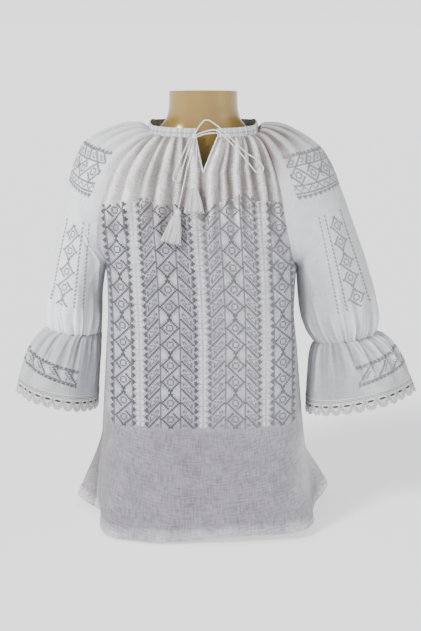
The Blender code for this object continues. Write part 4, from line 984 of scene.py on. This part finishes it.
def sleeve_cloth(side):
    """A sleeve from neck to elbow. Its columns start at the front seam, and below that inside the arm."""
    rows = [cap_row(side, s) for s in CAP_FINE] + [oval(ARM, side, s, SLEEVE_SPANS) for s in ARM_FINE]
    cloth = Cloth(rows, (1, 1, 1), np.r_[CAP_FINE, ARM_FINE], side)
    keys, place = cloth.keys, cloth.place
    edge = np.sin(math.pi * place) ** 0.5
    cap = NECK_PLEAT.at(keys)[CAP] * pleats(place, PLEATS[CAP])
    cap += 0.8 * ramp(keys, 0.3, 0) * gathers(place, CAP_GATHERS, 31 + side) * edge
    arm = ELBOW_PLEAT.at(keys) * towards_body(place) * pleats(place, ELBOW_PLEATS)
    full = np.interp(keys, (1.5, 1.85, 2.0), (0.0, 2.6, SEAM_GATHER))
    arm += SEAM_FILL * bell((2 - keys) / 0.10) + full * elbow_gathers(place, side) * edge
    cloth.lift = np.where(keys <= 1, cap, arm)
    middle = np.sin(math.pi * ramp(keys, 0.5, 1.9))
    cloth.lift += 1.4 * middle * creased(place, keys * 0.35, 41 + side) * edge
    cloth.crossed_by([*folds_from(2.0, ELBOW_FOLDS[side]), *UPPER_FOLDS[side]])

    # The right sleeve is painted lighter and the left darker, as painted light falling from one side.
    cloth.tone[:] = WHITE * {LEFT: 0.78, RIGHT: 1.12}[side]
    # Painted shade under the arm below the cap, and a broad painted shadow down the front of the sleeve.
    cloth.tint(PAINTED_SHADE, 0.75 * np.clip(np.cos(TURN * place), 0, 1) * ramp(keys, 0.9, 1.3))
    cloth.tint(PAINTED_SHADE, 0.45 * bell((place - 0.17) / 0.07) * bell((keys - 1.45) / 0.35))
    # Near the neck the form shows through the cap, deepest in the pleats' valleys and strongest on the left
    # sleeve, together with painted shade.
    valley = np.clip(1.1 - cloth.lift / (0.6 * NECK_PLEAT.at(0.3)[CAP]), 0, 1)
    show_through_and_shade = {LEFT: 1.0, RIGHT: 0.30}[side] * ramp(keys, 0.42, 0.24) * (0.4 + 0.6 * valley)
    cloth.tint(SHOW_THROUGH_AND_SHADE * 1.15, show_through_and_shade * np.clip(1.5 - place * 1.6, 0.3, 1))
    # painted highlight on the gathers' ridges and painted shade between them, near the elbow
    cloth.tone *= (1 + 0.30 * bell((2 - keys) / 0.22) * elbow_gathers(place, side))[..., None]
    # painted highlight on the ridges and painted shade in the hollows
    cloth.paint_relief_shade(0.06)
    return cloth


def ruffle_cloth(side, shares=RUFFLE_FINE, spans=SLEEVE_SPANS):
    """The flared cuff below the elbow, or another stretch of the same surface."""
    cloth = Cloth([oval(RUFFLE, side, s, spans) for s in shares], (1, 1, 0), shares)
    keys, place = cloth.keys, cloth.place
    waves = 0.5 - 0.5 * np.cos(TURN * RUFFLE_WAVES * place)
    edge = np.abs(np.sin(math.pi * place)) ** 0.5
    wide = RUFFLE_PLEAT.at(keys) * pleats(place, ELBOW_PLEATS) + RUFFLE_WAVE.at(keys) * waves
    full = np.interp(keys, (0.0, 0.15, 0.6, 1.0), (SEAM_GATHER, 2.6, 1.2, 0.0))
    fine = full * elbow_gathers(place, side) * edge
    cloth.lift = wide * towards_body(place) + fine + SEAM_FILL * bell(keys / 0.16)
    cloth.crossed_by(folds_from(0.0, RUFFLE_FOLDS[side] + RUFFLE_BACK_FOLDS))

    cloth.tone[:] = CUFF
    # Painted shade on the ruffle's side towards the body, and a painted shadow down its front, deeper on the
    # left.
    cloth.tint(PAINTED_SHADE, 0.7 * np.clip(np.cos(TURN * (place - 0.04)), 0, 1))
    cloth.tint(PAINTED_SHADE * {LEFT: 0.75, RIGHT: 1.0}[side], 0.60 * bell((place - 0.17) / 0.07))
    # painted highlight on the gathers' ridges and painted shade between them, near the elbow
    cloth.tone *= (1 + 0.30 * bell(keys / 0.35) * elbow_gathers(place, side))[..., None]
    # painted highlight on the ridges and painted shade in the hollows
    cloth.paint_relief_shade(0.07)
    return cloth


def sew(fronts, backs, sleeves, ruffles, which):
    """Gives pieces one direction where they meet, in the grid that which names: normal or out."""
    seams = [(halves[LEFT], FIRST, halves[RIGHT], FIRST) for halves in (fronts, backs)]
    body, arm = slice(len(YOKE_FINE), None), slice(len(CAP_FINE) - 1, None)
    for side in WORDS:
        sleeve, ruffle = sleeves[side], ruffles[side]
        seams += [(fronts[side], (body, -1), backs[side], (body, -1)), (sleeve, (arm, 0), sleeve, (arm, -1))]
        seams += [(ruffle, FIRST, ruffle, LAST), (sleeve, BOTTOM, ruffle, TOP)]
    for one, edge, other, other_edge in seams:
        first, second = getattr(one, which), getattr(other, which)
        first[edge] = second[other_edge] = unit(first[edge] + second[other_edge])


# ---------------- stitches

CELL = 2.2  # one counted stitch


class Stitches:
    """Stitches laid on cloth, at places (across, down) in millimetres.

    find(places) names each cloth that they lie on: which of the places, the cloth, their rows and columns,
    and whether each is really on it. soften moves the threads' colours towards the pale thread.
    """

    def __init__(self, find, soften=0.0):
        self.find, self.rows, self.soften = find, [], soften

    def laid(self, places, height):
        """Points at places, each its own height above the cloth, and whether each is on it."""
        points, found = np.zeros((len(places), 3)), np.zeros(len(places), bool)
        for mine, cloth, r, c, inside in self.find(places):
            points[mine] = cloth.at(r, c, height[mine])
            found[mine] = inside
        return points, found

    def strand(self, u0, v0, u1, v1, half, height, tone):
        """A bar of thread between two places, with its half width and height."""
        self.rows.append((u0, v0, u1, v1, half, height, *tone))

    def cross(self, column, row, thread):
        """One cross stitch, a little larger in dark thread."""
        size = CELL * (1.25 if thread == DARK else 1.0)
        u, v, k = column * CELL, row * CELL, size * 0.74
        tone = THREADS[thread] + (THREAD_PALE - THREADS[thread]) * self.soften
        self.strand(u - k, v - k, u + k, v + k, size * 0.55, 0.45, tone)
        self.strand(u - k, v + k, u + k, v - k, size * 0.55, 0.55, tone)

    def lines(self, columns, rows, thread):
        """Whole rows of crosses."""
        for column in columns:
            for row in rows:
                self.cross(column, row, thread)

    def make(self, name, material, slot):
        """The piece: each strand is a low four-sided mound."""
        rows = np.array(self.rows)
        rows = rows[self.laid((rows[:, 0:2] + rows[:, 2:4]) / 2, rows[:, 5])[1]]
        first, last = rows[:, 0:2], rows[:, 2:4]
        middle, along = (first + last) / 2, unit(last - first)
        beside = np.stack([-along[:, 1], along[:, 0]], axis=1) * rows[:, 4:5]
        low = np.full(len(rows), 0.12)
        corners = [self.laid(places, low)[0] for places in (first, middle + beside, last, middle - beside)]
        points = np.stack([*corners, self.laid(middle, rows[:, 5])[0]], axis=1).reshape(-1, 3)
        start = np.arange(len(rows))[:, None] * 5
        faces = np.concatenate([start + np.array((k, (k + 1) % 4, 4)) for k in range(4)])
        return piece(name, points, faces.tolist(), np.repeat(rows[:, 6:9], 5, axis=0), material, slot)


def pair(mirror):
    """Two diamonds linked by one diagonal, each round a ring: (column, row, thread), rows upward."""
    cells = []
    for k in range(7):
        cells += [(k, k - 6, DARK), (-k, k - 6, DARK), (-6 + k, 12 + k, DARK), (6 - k, 12 + k, DARK)]
    cells += [(6 - k, k, DARK) for k in range(1, 12)]
    for k in range(1, 5):
        cells += [(-6 + k, k, DARK), (6 - k, 12 - k, DARK)]
    ring = [(c, r) for c in range(-2, 3) for r in range(-2, 3) if 4 <= c * c + r * r <= 5]
    for row in (0, 12):
        cells += [(c, row + r, GREY) for c, r in ring] + [(7, row, DARK), (-7, row, DARK)]
    cells += [(c, r, DARK) for c, r in ((0, 19), (0, 20), (1, 18), (-1, 18), (1, -6), (-1, -6))]
    for k in range(4):
        for side in (-1, 1):
            cells += [(side * (6 - j), 19.5 + sign * k, SATIN) for j in range(4 - k) for sign in (-1, 1)]
    return sorted({(mirror * c, r, thread) for c, r, thread in cells})


PAIR_PERIOD = 27
# A stroke that climbs one row a column, and over it a leaning spiral: (column, rows above the stroke).
SPIRAL = [(k, 3) for k in range(1, 7)] + [(1, k) for k in range(4, 7)]
SPIRAL += [(7, 4), (7, 5), (6, 6), (5, 6), (4, 5), (2, 7)]
HOOK = [(k, k, DARK) for k in range(9)] + [(c, c + up, GREY) for c, up in SPIRAL]
HOOK_PERIOD = 10
TEETH = ((5, 4), (40, 41), (49.6, 48.6), (65.4, 66.4))  # columns of the base and the tip
TOOTH_PERIOD = 5
OVAL = ((0.5, 2.3), (1.4, 3.5), (2.3, 3.5), (3.1, 2.3))  # rows of satin stitch and their half widths
OVAL_PERIOD = 4
FRONT_BOTTOM = 188.0
FRONT_CELLS = 166
# How far up each column of the front's pattern goes, in cells, from the wearer's right to left.
FRONT_TOPS = (
    (-57, -45, -35, -23, -11, 0, 11, 23, 35, 45, 57),
    (157, 160, 162, 156, 158, 148, 156, 162, 165, 159, 159),
)
LEAN = 11.6  # how far the top of the pattern leans to the wearer's right


def chart_front(stitches):
    """The counted pattern of the front: columns of diamonds between hooks, and white bands edged in grey."""

    def put(column, row, thread):
        if 0 <= row < min(FRONT_CELLS, np.interp(column, *FRONT_TOPS)):
            stitches.cross(column, row, thread)

    for half in (-1, 1):
        stitches.soften = 0.0 if half < 0 else 0.16
        for centre in (23, 57):
            for first in range(0, FRONT_CELLS + 6, PAIR_PERIOD):
                for c, r, thread in pair(half):
                    put(half * centre + c, first + r + 6, thread)
        for row in range(FRONT_CELLS):
            for column in (16, 30, 50.6, 64.4) if row % 3 == 1 else (16, 30, 50.6, 64.4, 6, 39):
                put(half * column, row, GREY)
        for first in range(-HOOK_PERIOD, FRONT_CELLS, HOOK_PERIOD):
            for c, r, thread in HOOK:
                put(half * (7 + c * 0.97), first + r, thread)
                put(half * (38.3 - c * 0.92), first + r, thread)
        for first in range(0, FRONT_CELLS, TOOTH_PERIOD):
            for base, tip in TEETH:
                for column, row in ((base, 1), (base, 2), (base, 3), (tip, 2)):
                    put(half * column, first + row, DARK)
    for first in range(0, FRONT_CELLS, OVAL_PERIOD):
        for centre in (-44.8, 0, 44.8):
            for r, half in OVAL:
                if first + r < min(FRONT_CELLS, np.interp(centre, *FRONT_TOPS)):
                    u, v = centre * CELL, (first + r) * CELL
                    for s in (-1, 1):
                        stitches.strand(u, v, u + s * half * CELL, v, CELL * 0.52, 0.55, THREAD_SATIN)


def chart_shoulder(stitches, first, last):
    """The band over the upper arm: hooks, linked diamonds lying down, a zigzag, and grey borders."""
    every = range(first, last)
    stitches.lines([c for c in every if c % 4 != 3], (1, 31), DARK)
    stitches.lines([c for c in every if c % 4 == 1], (0, 32), DARK)
    stitches.lines(every, (2, 10, 24, 29), GREY)
    for column in every:
        zig = column % 6
        stitches.cross(column, 25 + (zig if zig < 4 else 6 - zig), GREY)
    for start in range(first, last - 12, 8):
        for k in range(7):
            stitches.cross(start + k, 9 - k, DARK)
        for c, r in ((4, 8), (5, 8), (6, 7), (7, 6), (6, 5), (8, 5)):
            stitches.cross(start + c, r, GREY)
    for start in range(first + 6, last - 18, 25):
        for c, r, thread in pair(1):
            if thread != SATIN and start + r < last:
                stitches.cross(start + r, 17 - c, thread)
        stitches.lines([start + 19.5], range(13, 22, 2), GREY)


def chart_arm(stitches, rows):
    """A column of linked diamonds down the arm between dotted lines."""
    for first in range(0, rows, PAIR_PERIOD):
        for c, r, thread in pair(-1):
            if thread != SATIN and first + r + 6 < rows:
                stitches.cross(c, first + r + 6, thread)
    for row in range(-3, rows, 3):
        for column, thread in ((-10, DARK), (10, DARK), (-17, GREY)):
            stitches.cross(column, row, thread)
            stitches.cross(column + 0.5, row + 1, GREY)


def chart_cuff(stitches, first, last, rows):
    """The band round the cuff: leaning hooks between two dotted lines."""
    every = range(first, last)
    stitches.lines(every, (1, rows - 2), GREY)
    stitches.lines([c for c in every if c % 3], (0, rows - 1), DARK)
    tall = rows - 4
    for start in range(first, last - tall - 4, tall + 4):
        for k in range(tall):
            stitches.cross(start + k, tall + 1 - k, DARK)
            if 1 < k < tall - 1:
                stitches.cross(start + k + 3, tall + 1 - k, GREY)
        stitches.cross(start + 3, 2, GREY)
        stitches.cross(start + tall, tall, GREY)


def located(base, x, z):
    """The rows and columns of a grid of cloth that stand at a distance x and a height z, and how far off."""
    grid_x, grid_z = np.abs(base[..., 0]), base[..., 2]
    rows, columns = grid_x.shape
    n = np.arange(len(x))
    c = np.interp(x, grid_x[rows // 2], np.arange(columns))
    for _ in range(5):
        j = np.clip(c.astype(int), 0, columns - 2)
        line = grid_z[:, j] + (grid_z[:, j + 1] - grid_z[:, j]) * (c - j)
        i = np.clip((line > z).sum(axis=0) - 1, 0, rows - 2)
        r = i + np.clip((line[i, n] - z) / (line[i, n] - line[i + 1, n]), 0, 1)
        i = np.clip(r.astype(int), 0, rows - 2)
        line = grid_x[i] + (grid_x[i + 1] - grid_x[i]) * (r - i)[:, None]
        j = np.clip((line < x[:, None]).sum(axis=1) - 1, 0, columns - 2)
        c = j + np.clip((x - line[n, j]) / np.maximum(line[n, j + 1] - line[n, j], 1e-6), 0, 1)
    here = sampled(base, r, c)
    return r, c, np.hypot(np.abs(here[:, 0]) - x, here[:, 2] - z)


def on_front(fronts):
    """Places across from the centre and up from the pattern's lowest row, as seen from the front."""

    def find(places):
        z = FRONT_BOTTOM + places[:, 1]
        x = places[:, 0] - LEAN * ramp(z, 310, 535) ** 1.6
        for side, cloth in fronts.items():
            mine = (x >= 0) == (side == LEFT)
            r, c, off = located(cloth.base, np.abs(x[mine]), z[mine])
            yield mine, cloth, r, c, (off < 1.0) & (c < PANEL_SPANS - 2)

    return find


# The pattern's line down each sleeve, as distances from the middle and heights, and how much narrower the
# pattern looks at its top and its bottom.
ARM_LINES = {LEFT: ((203.0, 513.0), (247.0, 368.0)), RIGHT: ((200.0, 500.0), (224.0, 372.0))}
ARM_SQUEEZE = (0.62, 0.92)


def on_arm(cloth, face, start, end):
    """Places beside and down a line between two points of a sleeve's front or back, as seen from there."""
    length = np.linalg.norm(end - start)
    down = unit(end - start)
    half = (cloth.base if face == FRONT else cloth.base[:, ::-1])[:, : SLEEVE_SPANS // 2 + 1]

    def find(places):
        squeeze = np.interp(places[:, 1], (0, length), ARM_SQUEEZE)[:, None]
        target = start + places[:, 1:] * down + places[:, :1] * squeeze * (-down[1], down[0])
        r, c, off = located(half, *target.T)
        yield ALL, cloth, r, c if face == FRONT else SLEEVE_SPANS - c, off < 1.0

    return find


def round_arm(cloth, length, top):
    """Places round a sleeve or cuff of a length, and down from a line that top gives at each share of it."""
    depth = cloth.v[:, int(SLEEVE_SPANS * 0.3)]  # distances down the front of the arm

    def find(places):
        place = places[:, 0] / length
        down = top(place) + places[:, 1]
        yield ALL, cloth, np.interp(down, depth, np.arange(len(depth))), place * SLEEVE_SPANS, True

    return find


def on_row(cloth, row):
    """Places along one row of a cloth, counted in columns."""
    return lambda places: [(ALL, cloth, np.full(len(places), row), places[:, 0], True)]


def on_hem(halves):
    """Places across from the centre of a panel, along the top of its turned hem."""

    def find(places):
        for side, cloth in halves.items():
            mine = (places[:, 0] >= 0) == (side == LEFT)
            c = np.interp(np.abs(places[mine, 0]), cloth.u, np.arange(len(cloth.u)))
            yield mine, cloth, len(cloth.base) - HEM_ROWS + 0.6 + places[mine, 1] * 0.1, c, True

    return find


BAND_ROUND = 290.0  # round the sleeve where its upper band lies
BAND_TOP = {LEFT: 47.0, RIGHT: 50.0}
# The cuffs' bands: length round the cuff, first and last share of it, how far down the band starts, how far
# it slopes from the outside of the arm, its rows, and how soft its threads look.
CUFF_BANDS = {
    LEFT: (450.0, 0.245, 0.755, 34.0, 70.0, 14, 0.32),
    RIGHT: (400.0, 0.18, 0.82, 42.0, 75.0, 11, 0.1),
}
SOFT_ARM = 0.44  # how soft the sleeves' threads look


def embroider(fronts, sleeves, ruffles, material):
    front = Stitches(on_front(fronts))
    chart_front(front)
    front.make("embroidery_front", material, "front_panel")
    for side, word in WORDS.items():
        sleeve = sleeves[side]
        over = round_arm(
            sleeve, BAND_ROUND, lambda place: BAND_TOP[side] + 61.0 * np.sin(math.pi * np.clip(place, 0, 1))
        )
        band = Stitches(over, SOFT_ARM)
        chart_shoulder(band, 11, int(BAND_ROUND / CELL) - 11)
        band.make(f"embroidery_shoulder_{word}", material, f"sleeve_{word}")
        start, end = np.array(ARM_LINES[side])
        for tag, face in (("front", FRONT), ("back", BACK)):
            line = Stitches(on_arm(sleeve, face, start, end), SOFT_ARM)
            chart_arm(line, int(np.linalg.norm(end - start) / CELL))
            line.make(f"embroidery_arm_{word}_{tag}", material, f"sleeve_{word}")
        length, low, high, top, slope, rows, soft = CUFF_BANDS[side]
        round_cuff = round_arm(
            ruffles[side], length, lambda place: top + slope * np.sqrt((0.5 - place) ** 2 + 0.0009)
        )
        band = Stitches(round_cuff, soft)
        chart_cuff(band, int(low * length / CELL), int(high * length / CELL), rows)
        band.make(f"embroidery_cuff_{word}", material, f"ruffle_{word}")


# How far apart the small stitches of the elbows and the hem are, and how long each is: in columns of the
# sleeve's grid, and in millimetres.
ELBOW_STITCH = (3.0, 1.9)
HEM_STITCH = (4.2, 2.4)


def elbow_threads(sleeves, ruffles, material):
    """Three rows of small gathering stitches round each elbow."""
    for side, word in WORDS.items():
        last = len(sleeves[side].base)
        lines = (("upper", sleeves, last - 2.6), ("middle", ruffles, 0.6), ("lower", ruffles, 2.2))
        for tag, cloths, row in lines:
            line = Stitches(on_row(cloths[side], row))
            step, long = ELBOW_STITCH
            for column in np.arange(1, SLEEVE_SPANS - 3, step):
                line.strand(column, 0, column + long, 0, 0.6, 0.75, THREAD_WHITE)
            slot = "sleeve" if tag == "upper" else "ruffle"
            line.make(f"gathering_{word}_{tag}", material, f"{slot}_{word}")


def hem_stitches(fronts, backs, material):
    """Small running stitches along the top of the turned hem."""
    for halves, name in ((fronts, "front"), (backs, "back")):
        line = Stitches(on_hem(halves))
        reach = min(cloth.u[-1] for cloth in halves.values()) - 4
        step, long = HEM_STITCH
        for u in np.arange(-reach, reach, step):
            line.strand(u - long / 2, 0, u + long / 2, 0, 0.5, 0.4, LILAC)
        line.make(f"hem_stitches_{name}", material, f"{name}_panel")


# ---------------- neckband, slit, lace, form

BAND_HEIGHT = 13.0
BAND_SPANS = 420
BAND_LEAN = (1.5, 2.0)  # how far the band stands in from the cloth's edge, and how much further at its top
CROSS_STEP, CROSS_ROW = 4.4, 3.0  # how far apart the band's crosses are, and their row of its grid
EDGE_STEP, EDGE_ROWS = 2.6, (1.15, 4.85)  # the same for the stitches along its edges
SLIT_EDGE = 1.35  # radius of the rolled edge of the slit
# The casing's section: height above the neck's edge, and how far it bulges.
BAND_SECTION = ((-1.6, -0.2), (0.4, 1.1), (3.0, 1.5), (6.5, 1.35), (10.0, 1.5), (12.6, 1.1), (14.4, 0.0))


def make_band(fronts, sleeves, backs, material, thread):
    """The gathered casing round the neck, with stitches along its edges and a row of small crosses."""
    line = [fronts[LEFT].base[0], sleeves[LEFT].base[0], backs[LEFT].base[0, ::-1]]
    line += [backs[RIGHT].base[0], sleeves[RIGHT].base[0, ::-1], fronts[RIGHT].base[0, ::-1]]
    path = placed(np.vstack(line), BAND_SPANS)
    away = unit((path - (0, 5, 0)) * (1, 1, 0))
    ripple = gathers(np.linspace(0, 1, len(path)), BAND_GATHERS, 5)
    rows = []
    for height, bulge in BAND_SECTION:
        share = height / BAND_HEIGHT
        lift = bulge + 0.85 * ripple * math.sin(math.pi * np.clip(share, 0.08, 0.92))
        inward = BAND_LEAN[0] + BAND_LEAN[1] * share
        rows.append(path + (0, 0, height) - away * inward + away * lift[:, None])
    cloth = Cloth(rows, (1, 1, 0), range(len(rows)))
    cloth.normal = np.broadcast_to(away, cloth.base.shape).copy()
    cloth.settle()
    # painted highlight on the band's gathers and painted shade between them
    cloth.tone[:] = WHITE * (0.74 + 0.30 * ripple)[:, None]
    made = cloth_piece("neckband", [cloth], (TOP, BOTTOM, FIRST, LAST), material)

    length = cloth.u[-1]
    dots = Stitches(lambda places: [(ALL, cloth, places[:, 1], places[:, 0] / length * BAND_SPANS, True)])
    for u in np.arange(3, length - 3, CROSS_STEP):
        dots.strand(u - 1.5, CROSS_ROW, u + 1.5, CROSS_ROW, 0.40, 0.7, THREAD_LAVENDER)
        dots.strand(u, CROSS_ROW - 0.5, u, CROSS_ROW + 0.5, 1.2, 0.75, THREAD_LAVENDER)
    for u in np.arange(3, length - 3, EDGE_STEP):
        for row in EDGE_ROWS:
            dots.strand(u - 1.2, row, u + 1.2, row, 0.16, 0.7, THREAD_WHITE)
    dots.make("neckband_stitches", thread, "neckband")
    return made


def slit_edging(fronts, material):
    """The rolled edge of the neck slit, down one side and up the other."""
    left, right = (fronts[side].points[:SLIT_ROWS, 0] for side in (LEFT, RIGHT))
    path = np.vstack([right, left[::-1][1:]]) + (0, -0.6, 0)
    rolled = tube(path, SLIT_EDGE, 8, lambda a, d: 1 + 0.12 * np.cos(d * 2.4))
    piece("slit_edging", *rolled, THREAD_WHITE, material, "front_panel")


def make_form(material):
    """The limbless dress form, smooth from hips to a neck cut flat."""
    spans = 120
    turn = TURN * np.arange(spans) / spans
    s, c = np.sin(turn), np.cos(turn)
    z = np.unique(np.r_[np.linspace(0, 590, 44), np.linspace(590, FORM_TOP, 40)])[:, None]
    half, front, back, roundness = FORM.at(z)
    x = half * np.sign(s) * np.abs(s) ** (2 / roundness)
    y = -np.where(c > 0, front, back) * np.sign(c) * np.abs(c) ** (2 / roundness)
    rings = np.stack([x, y, z + 0 * x], axis=-1)
    edge = rings[-1]
    middle = np.array((0, edge[:, 1].mean(), FORM_TOP))
    rings = [rings[0] * (0.3, 0.3, 1), *rings, *(edge + (middle - edge) * k for k in (0.02, 0.3, 0.7))]
    points, faces = np.vstack(rings), ring_faces(len(rings), spans)
    piece("form_shell", points, faces, 1.0, material, "dress_form", "dress_form", merge=True)


SCALLOPS = 28
SCALLOP_SPANS = 12
RING = 24  # points round an eyelet
LACE_END = 1.28
LACE_SHARES = np.linspace(1.0, LACE_END, 6)
EYELET = 1.118  # share of the ruffle where the eyelets lie
NOTCH = 1.175  # share where the gaps between the scallops end
FAN = 1.17  # share where each fan's arcs spread from
# The rings of a scallop, front then back: their height off the ruffle's surface and the tone's share, which
# is
# painted shade: the eyelet's dark core is a recessed disc standing for the shade seen through it, the scallop
# is darker between the eyelet and its outline, and its back lies in painted shade.
LACE_RINGS = (
    (-0.45, 0.10), (0.45, 1.0), (0.0, 0.30), (0.2, 0.62), (-0.9, 0.5), (-0.9, 0.5), (-0.9, 0.5), (-0.9, 0.5),
)
ARCS = ((1.262, 0.55, 1.0), (1.228, 0.42, 0.72), (1.192, 0.42, 0.46))  # lowest share, radius, width
CHAINS = ((1.004, 0.8), (1.035, 0.45), (1.06, 0.45), (1.084, 0.6), (1.158, 0.55))  # share, radius


def scallop_rings(centre, half):
    """The core of an eyelet, a disc that fills it and is painted dark as shade, its edge, the scallop's
    outline, and a line between, as (place, share).
    """
    outline = []
    angles = TURN * np.arange(RING) / RING
    for s, c in zip(np.sin(angles), np.cos(angles)):
        across = max(-1, min(1, 1.45 * s))
        share = 1.0 if c > 0.2 else 1.06
        if c < 0:
            share = NOTCH + (1.268 - NOTCH) * math.sqrt(max(0.0, 1 - across * across))
        outline.append((centre + half * across, share))
    core, hole = (
        np.stack([centre + wide * half * np.sin(angles), EYELET - tall * np.cos(angles)], axis=1)
        for wide, tall in ((0.56, 0.017), (0.68, 0.022))
    )
    return core, hole, (np.array(outline) + hole) / 2, np.array(outline)


def make_lace(side, material):
    """The crochet edging of one cuff: a close band, eyelets filled with painted shade, and a fan with a
    looped edge under each.
    """
    surface = ruffle_cloth(side, LACE_SHARES, SCALLOPS * SCALLOP_SPANS)
    surface.settle()

    def at(place, share, height):
        row = (share - 1.0) / (LACE_END - 1.0) * (len(LACE_SHARES) - 1)
        return surface.at(row, place % 1.0 * SCALLOPS * SCALLOP_SPANS, np.full(row.shape, height))

    half = 0.5 / SCALLOPS
    t = np.linspace(-1, 1, 11)
    parts, shares = [], []
    for s in range(SCALLOPS):
        centre = (s + 0.5) / SCALLOPS
        rings = scallop_rings(centre, half)
        rings = [at(*ring.T, up) for ring, (up, _) in zip((*rings, *rings[::-1]), LACE_RINGS)]
        parts.append((np.vstack(rings), ring_faces(len(rings), RING)))
        shares += np.repeat([tone for _, tone in LACE_RINGS], RING).tolist()
        fan = []
        for low, radius, width in ARCS:
            share = FAN + (low - FAN) * np.sqrt(1 - t * t)
            fan.append(tube(at(centre + half * width * t, share, 0.3), radius, 5))
        for k in range(-3, 4):
            across = half * k / 3.6
            end = FAN + (1.272 - FAN) * math.sqrt(1 - (k / 3.6) ** 2)
            spread, down = np.array((0.12, 0.5, 1)), np.array((1.15, (1.15 + end) / 2, end))
            spoke = at(centre + across * spread, down, 0.35)
            fan.append(tube(spoke, (0.40, 0.40, 0.55), 4))
        parts += fan
        shares += [1.0] * sum(len(points) for points, _ in fan)
    t = np.linspace(0, 1, SCALLOPS * SCALLOP_SPANS + 1)
    for share, radius in CHAINS:
        chain = at(t, np.full(len(t), share), 0.25)
        parts.append(tube(chain, radius, 5, lambda a, d: 1 + 0.15 * np.cos(d * 2.2)))
    points, faces = joined(parts)
    shade = 0.86 + 0.10 * np.cos(points[:, 0] * 2.1 + points[:, 2] * 3.3)
    # painted shade: the eyelets' dark cores, the scallops' darker middles and their backs
    shade[: len(shares)] *= shares
    nodes = [f"lace_{WORDS[side]}_{half_name}" for half_name in ("front", "back")]
    piece(f"lace_{WORDS[side]}", points, faces, THREAD_WHITE * shade[:, None], material, nodes[0], *nodes)


# ---------------- floor and light

HORIZON = 2.0
ZENITH = 0.30
FLOOR_GLOW = 0.95
FLOOR_HALF = 60  # metres
SUNS = (("key", (0.60, 0.62, -0.58), 14, 3.4), ("fill", (-0.7, 0.5, -0.3), 40, 0.3))


def make_stage():
    data = bpy.data.meshes.new("floor")
    corners = [(x * FLOOR_HALF, y * FLOOR_HALF, -0.0005) for x, y in ((-1, -1), (1, -1), (1, 1), (-1, 1))]
    data.from_pydata(corners, [], [(0, 1, 2, 3)])
    looks = {"Base_Color": (0.93, 0.93, 0.93, 1), "Emission_Color": (1, 1, 1, 1), "Roughness": 0.9}
    data.materials.append(shader_of("floor_white", Emission_Strength=FLOOR_GLOW, **looks)[0])
    linked("floor", data)
    world = bpy.data.worlds.new("studio")
    world.use_nodes = True
    tree = world.node_tree
    sky = node(tree, "SeparateXYZ", node(tree, "TexCoord").outputs["Generated"])
    fade = node(tree, "MapRange", sky.outputs["Z"], 0.08, 0.45, HORIZON, ZENITH)
    background = tree.nodes["Background"]
    feed(tree, background.inputs["Strength"], fade.outputs[0])
    feed(tree, background.inputs["Color"], (0.98, 0.985, 1.0, 1))
    bpy.context.scene.world = world
    for name, towards, angle, strength in SUNS:
        light = bpy.data.lights.new(name, "SUN")
        light.angle = math.radians(angle)
        light.energy = strength
        linked(name, light).rotation_euler = Vector(towards).to_track_quat("-Z", "Y").to_euler()


# ---------------- the whole scene

# What shows of each cloth, laid flat: greatest width and length, and area, in metres, and what it rests on.
CUTS = {
    "front_panel": (0.58, 0.67, 0.285, ["dress_form"]),
    "back_panel": (0.66, 0.67, 0.275, ["dress_form"]),
    "sleeve_left": (0.47, 0.43, 0.155, ["dress_form"]),
    "sleeve_right": (0.46, 0.42, 0.135, ["dress_form"]),
    "ruffle_left": (0.52, 0.10, None, ["sleeve_left"]),
    "ruffle_right": (0.45, 0.10, None, ["sleeve_right"]),
    "neckband": (0.47, 0.016, None, ["front_panel", "back_panel"]),
}


def main():
    make_camera()
    yarn = cotton()
    make_cords(yarn)
    make_knot(yarn)
    for name, (start, end) in TASSELS.items():
        make_tassel(name, start, end, yarn)

    slub, fine, thread = linen("slub_linen", 0.42, 1.55), linen("fine_linen", 0.80, 1.18), silver_thread()
    fronts, backs = ({side: panel_cloth(side, face) for side in WORDS} for face in (FRONT, BACK))
    sleeves = {side: sleeve_cloth(side) for side in WORDS}
    ruffles = {side: ruffle_cloth(side) for side in WORDS}
    sew(fronts, backs, sleeves, ruffles, "normal")
    for cloths in (fronts, backs, sleeves, ruffles):
        for cloth in cloths.values():
            cloth.settle()
    sew(fronts, backs, sleeves, ruffles, "out")
    slit, cap = slice(SLIT_ROWS), slice(len(CAP_FINE))
    cut = [
        ("front_panel", fronts.values(), (TOP, BOTTOM, LAST, (slit, 0)), slub),
        ("back_panel", backs.values(), (TOP, BOTTOM, LAST), slub),
    ]
    for side, word in WORDS.items():
        cut.append((f"sleeve_{word}", [sleeves[side]], (TOP, BOTTOM, (cap, 0), (cap, -1)), fine))
        cut.append((f"ruffle_{word}", [ruffles[side]], (TOP, BOTTOM), fine))
    pieces = {name: cloth_piece(name, *rest) for name, *rest in cut}
    embroider(fronts, sleeves, ruffles, thread)
    hem_stitches(fronts, backs, thread)
    slit_edging(fronts, yarn)
    elbow_threads(sleeves, ruffles, thread)
    pieces["neckband"] = make_band(fronts, sleeves, backs, fine, thread)
    for side in WORDS:
        make_lace(side, yarn)
    make_form(gold_gloss())
    make_stage()
    for name, (width, length, area, carriers) in CUTS.items():
        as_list(carriers)


main()
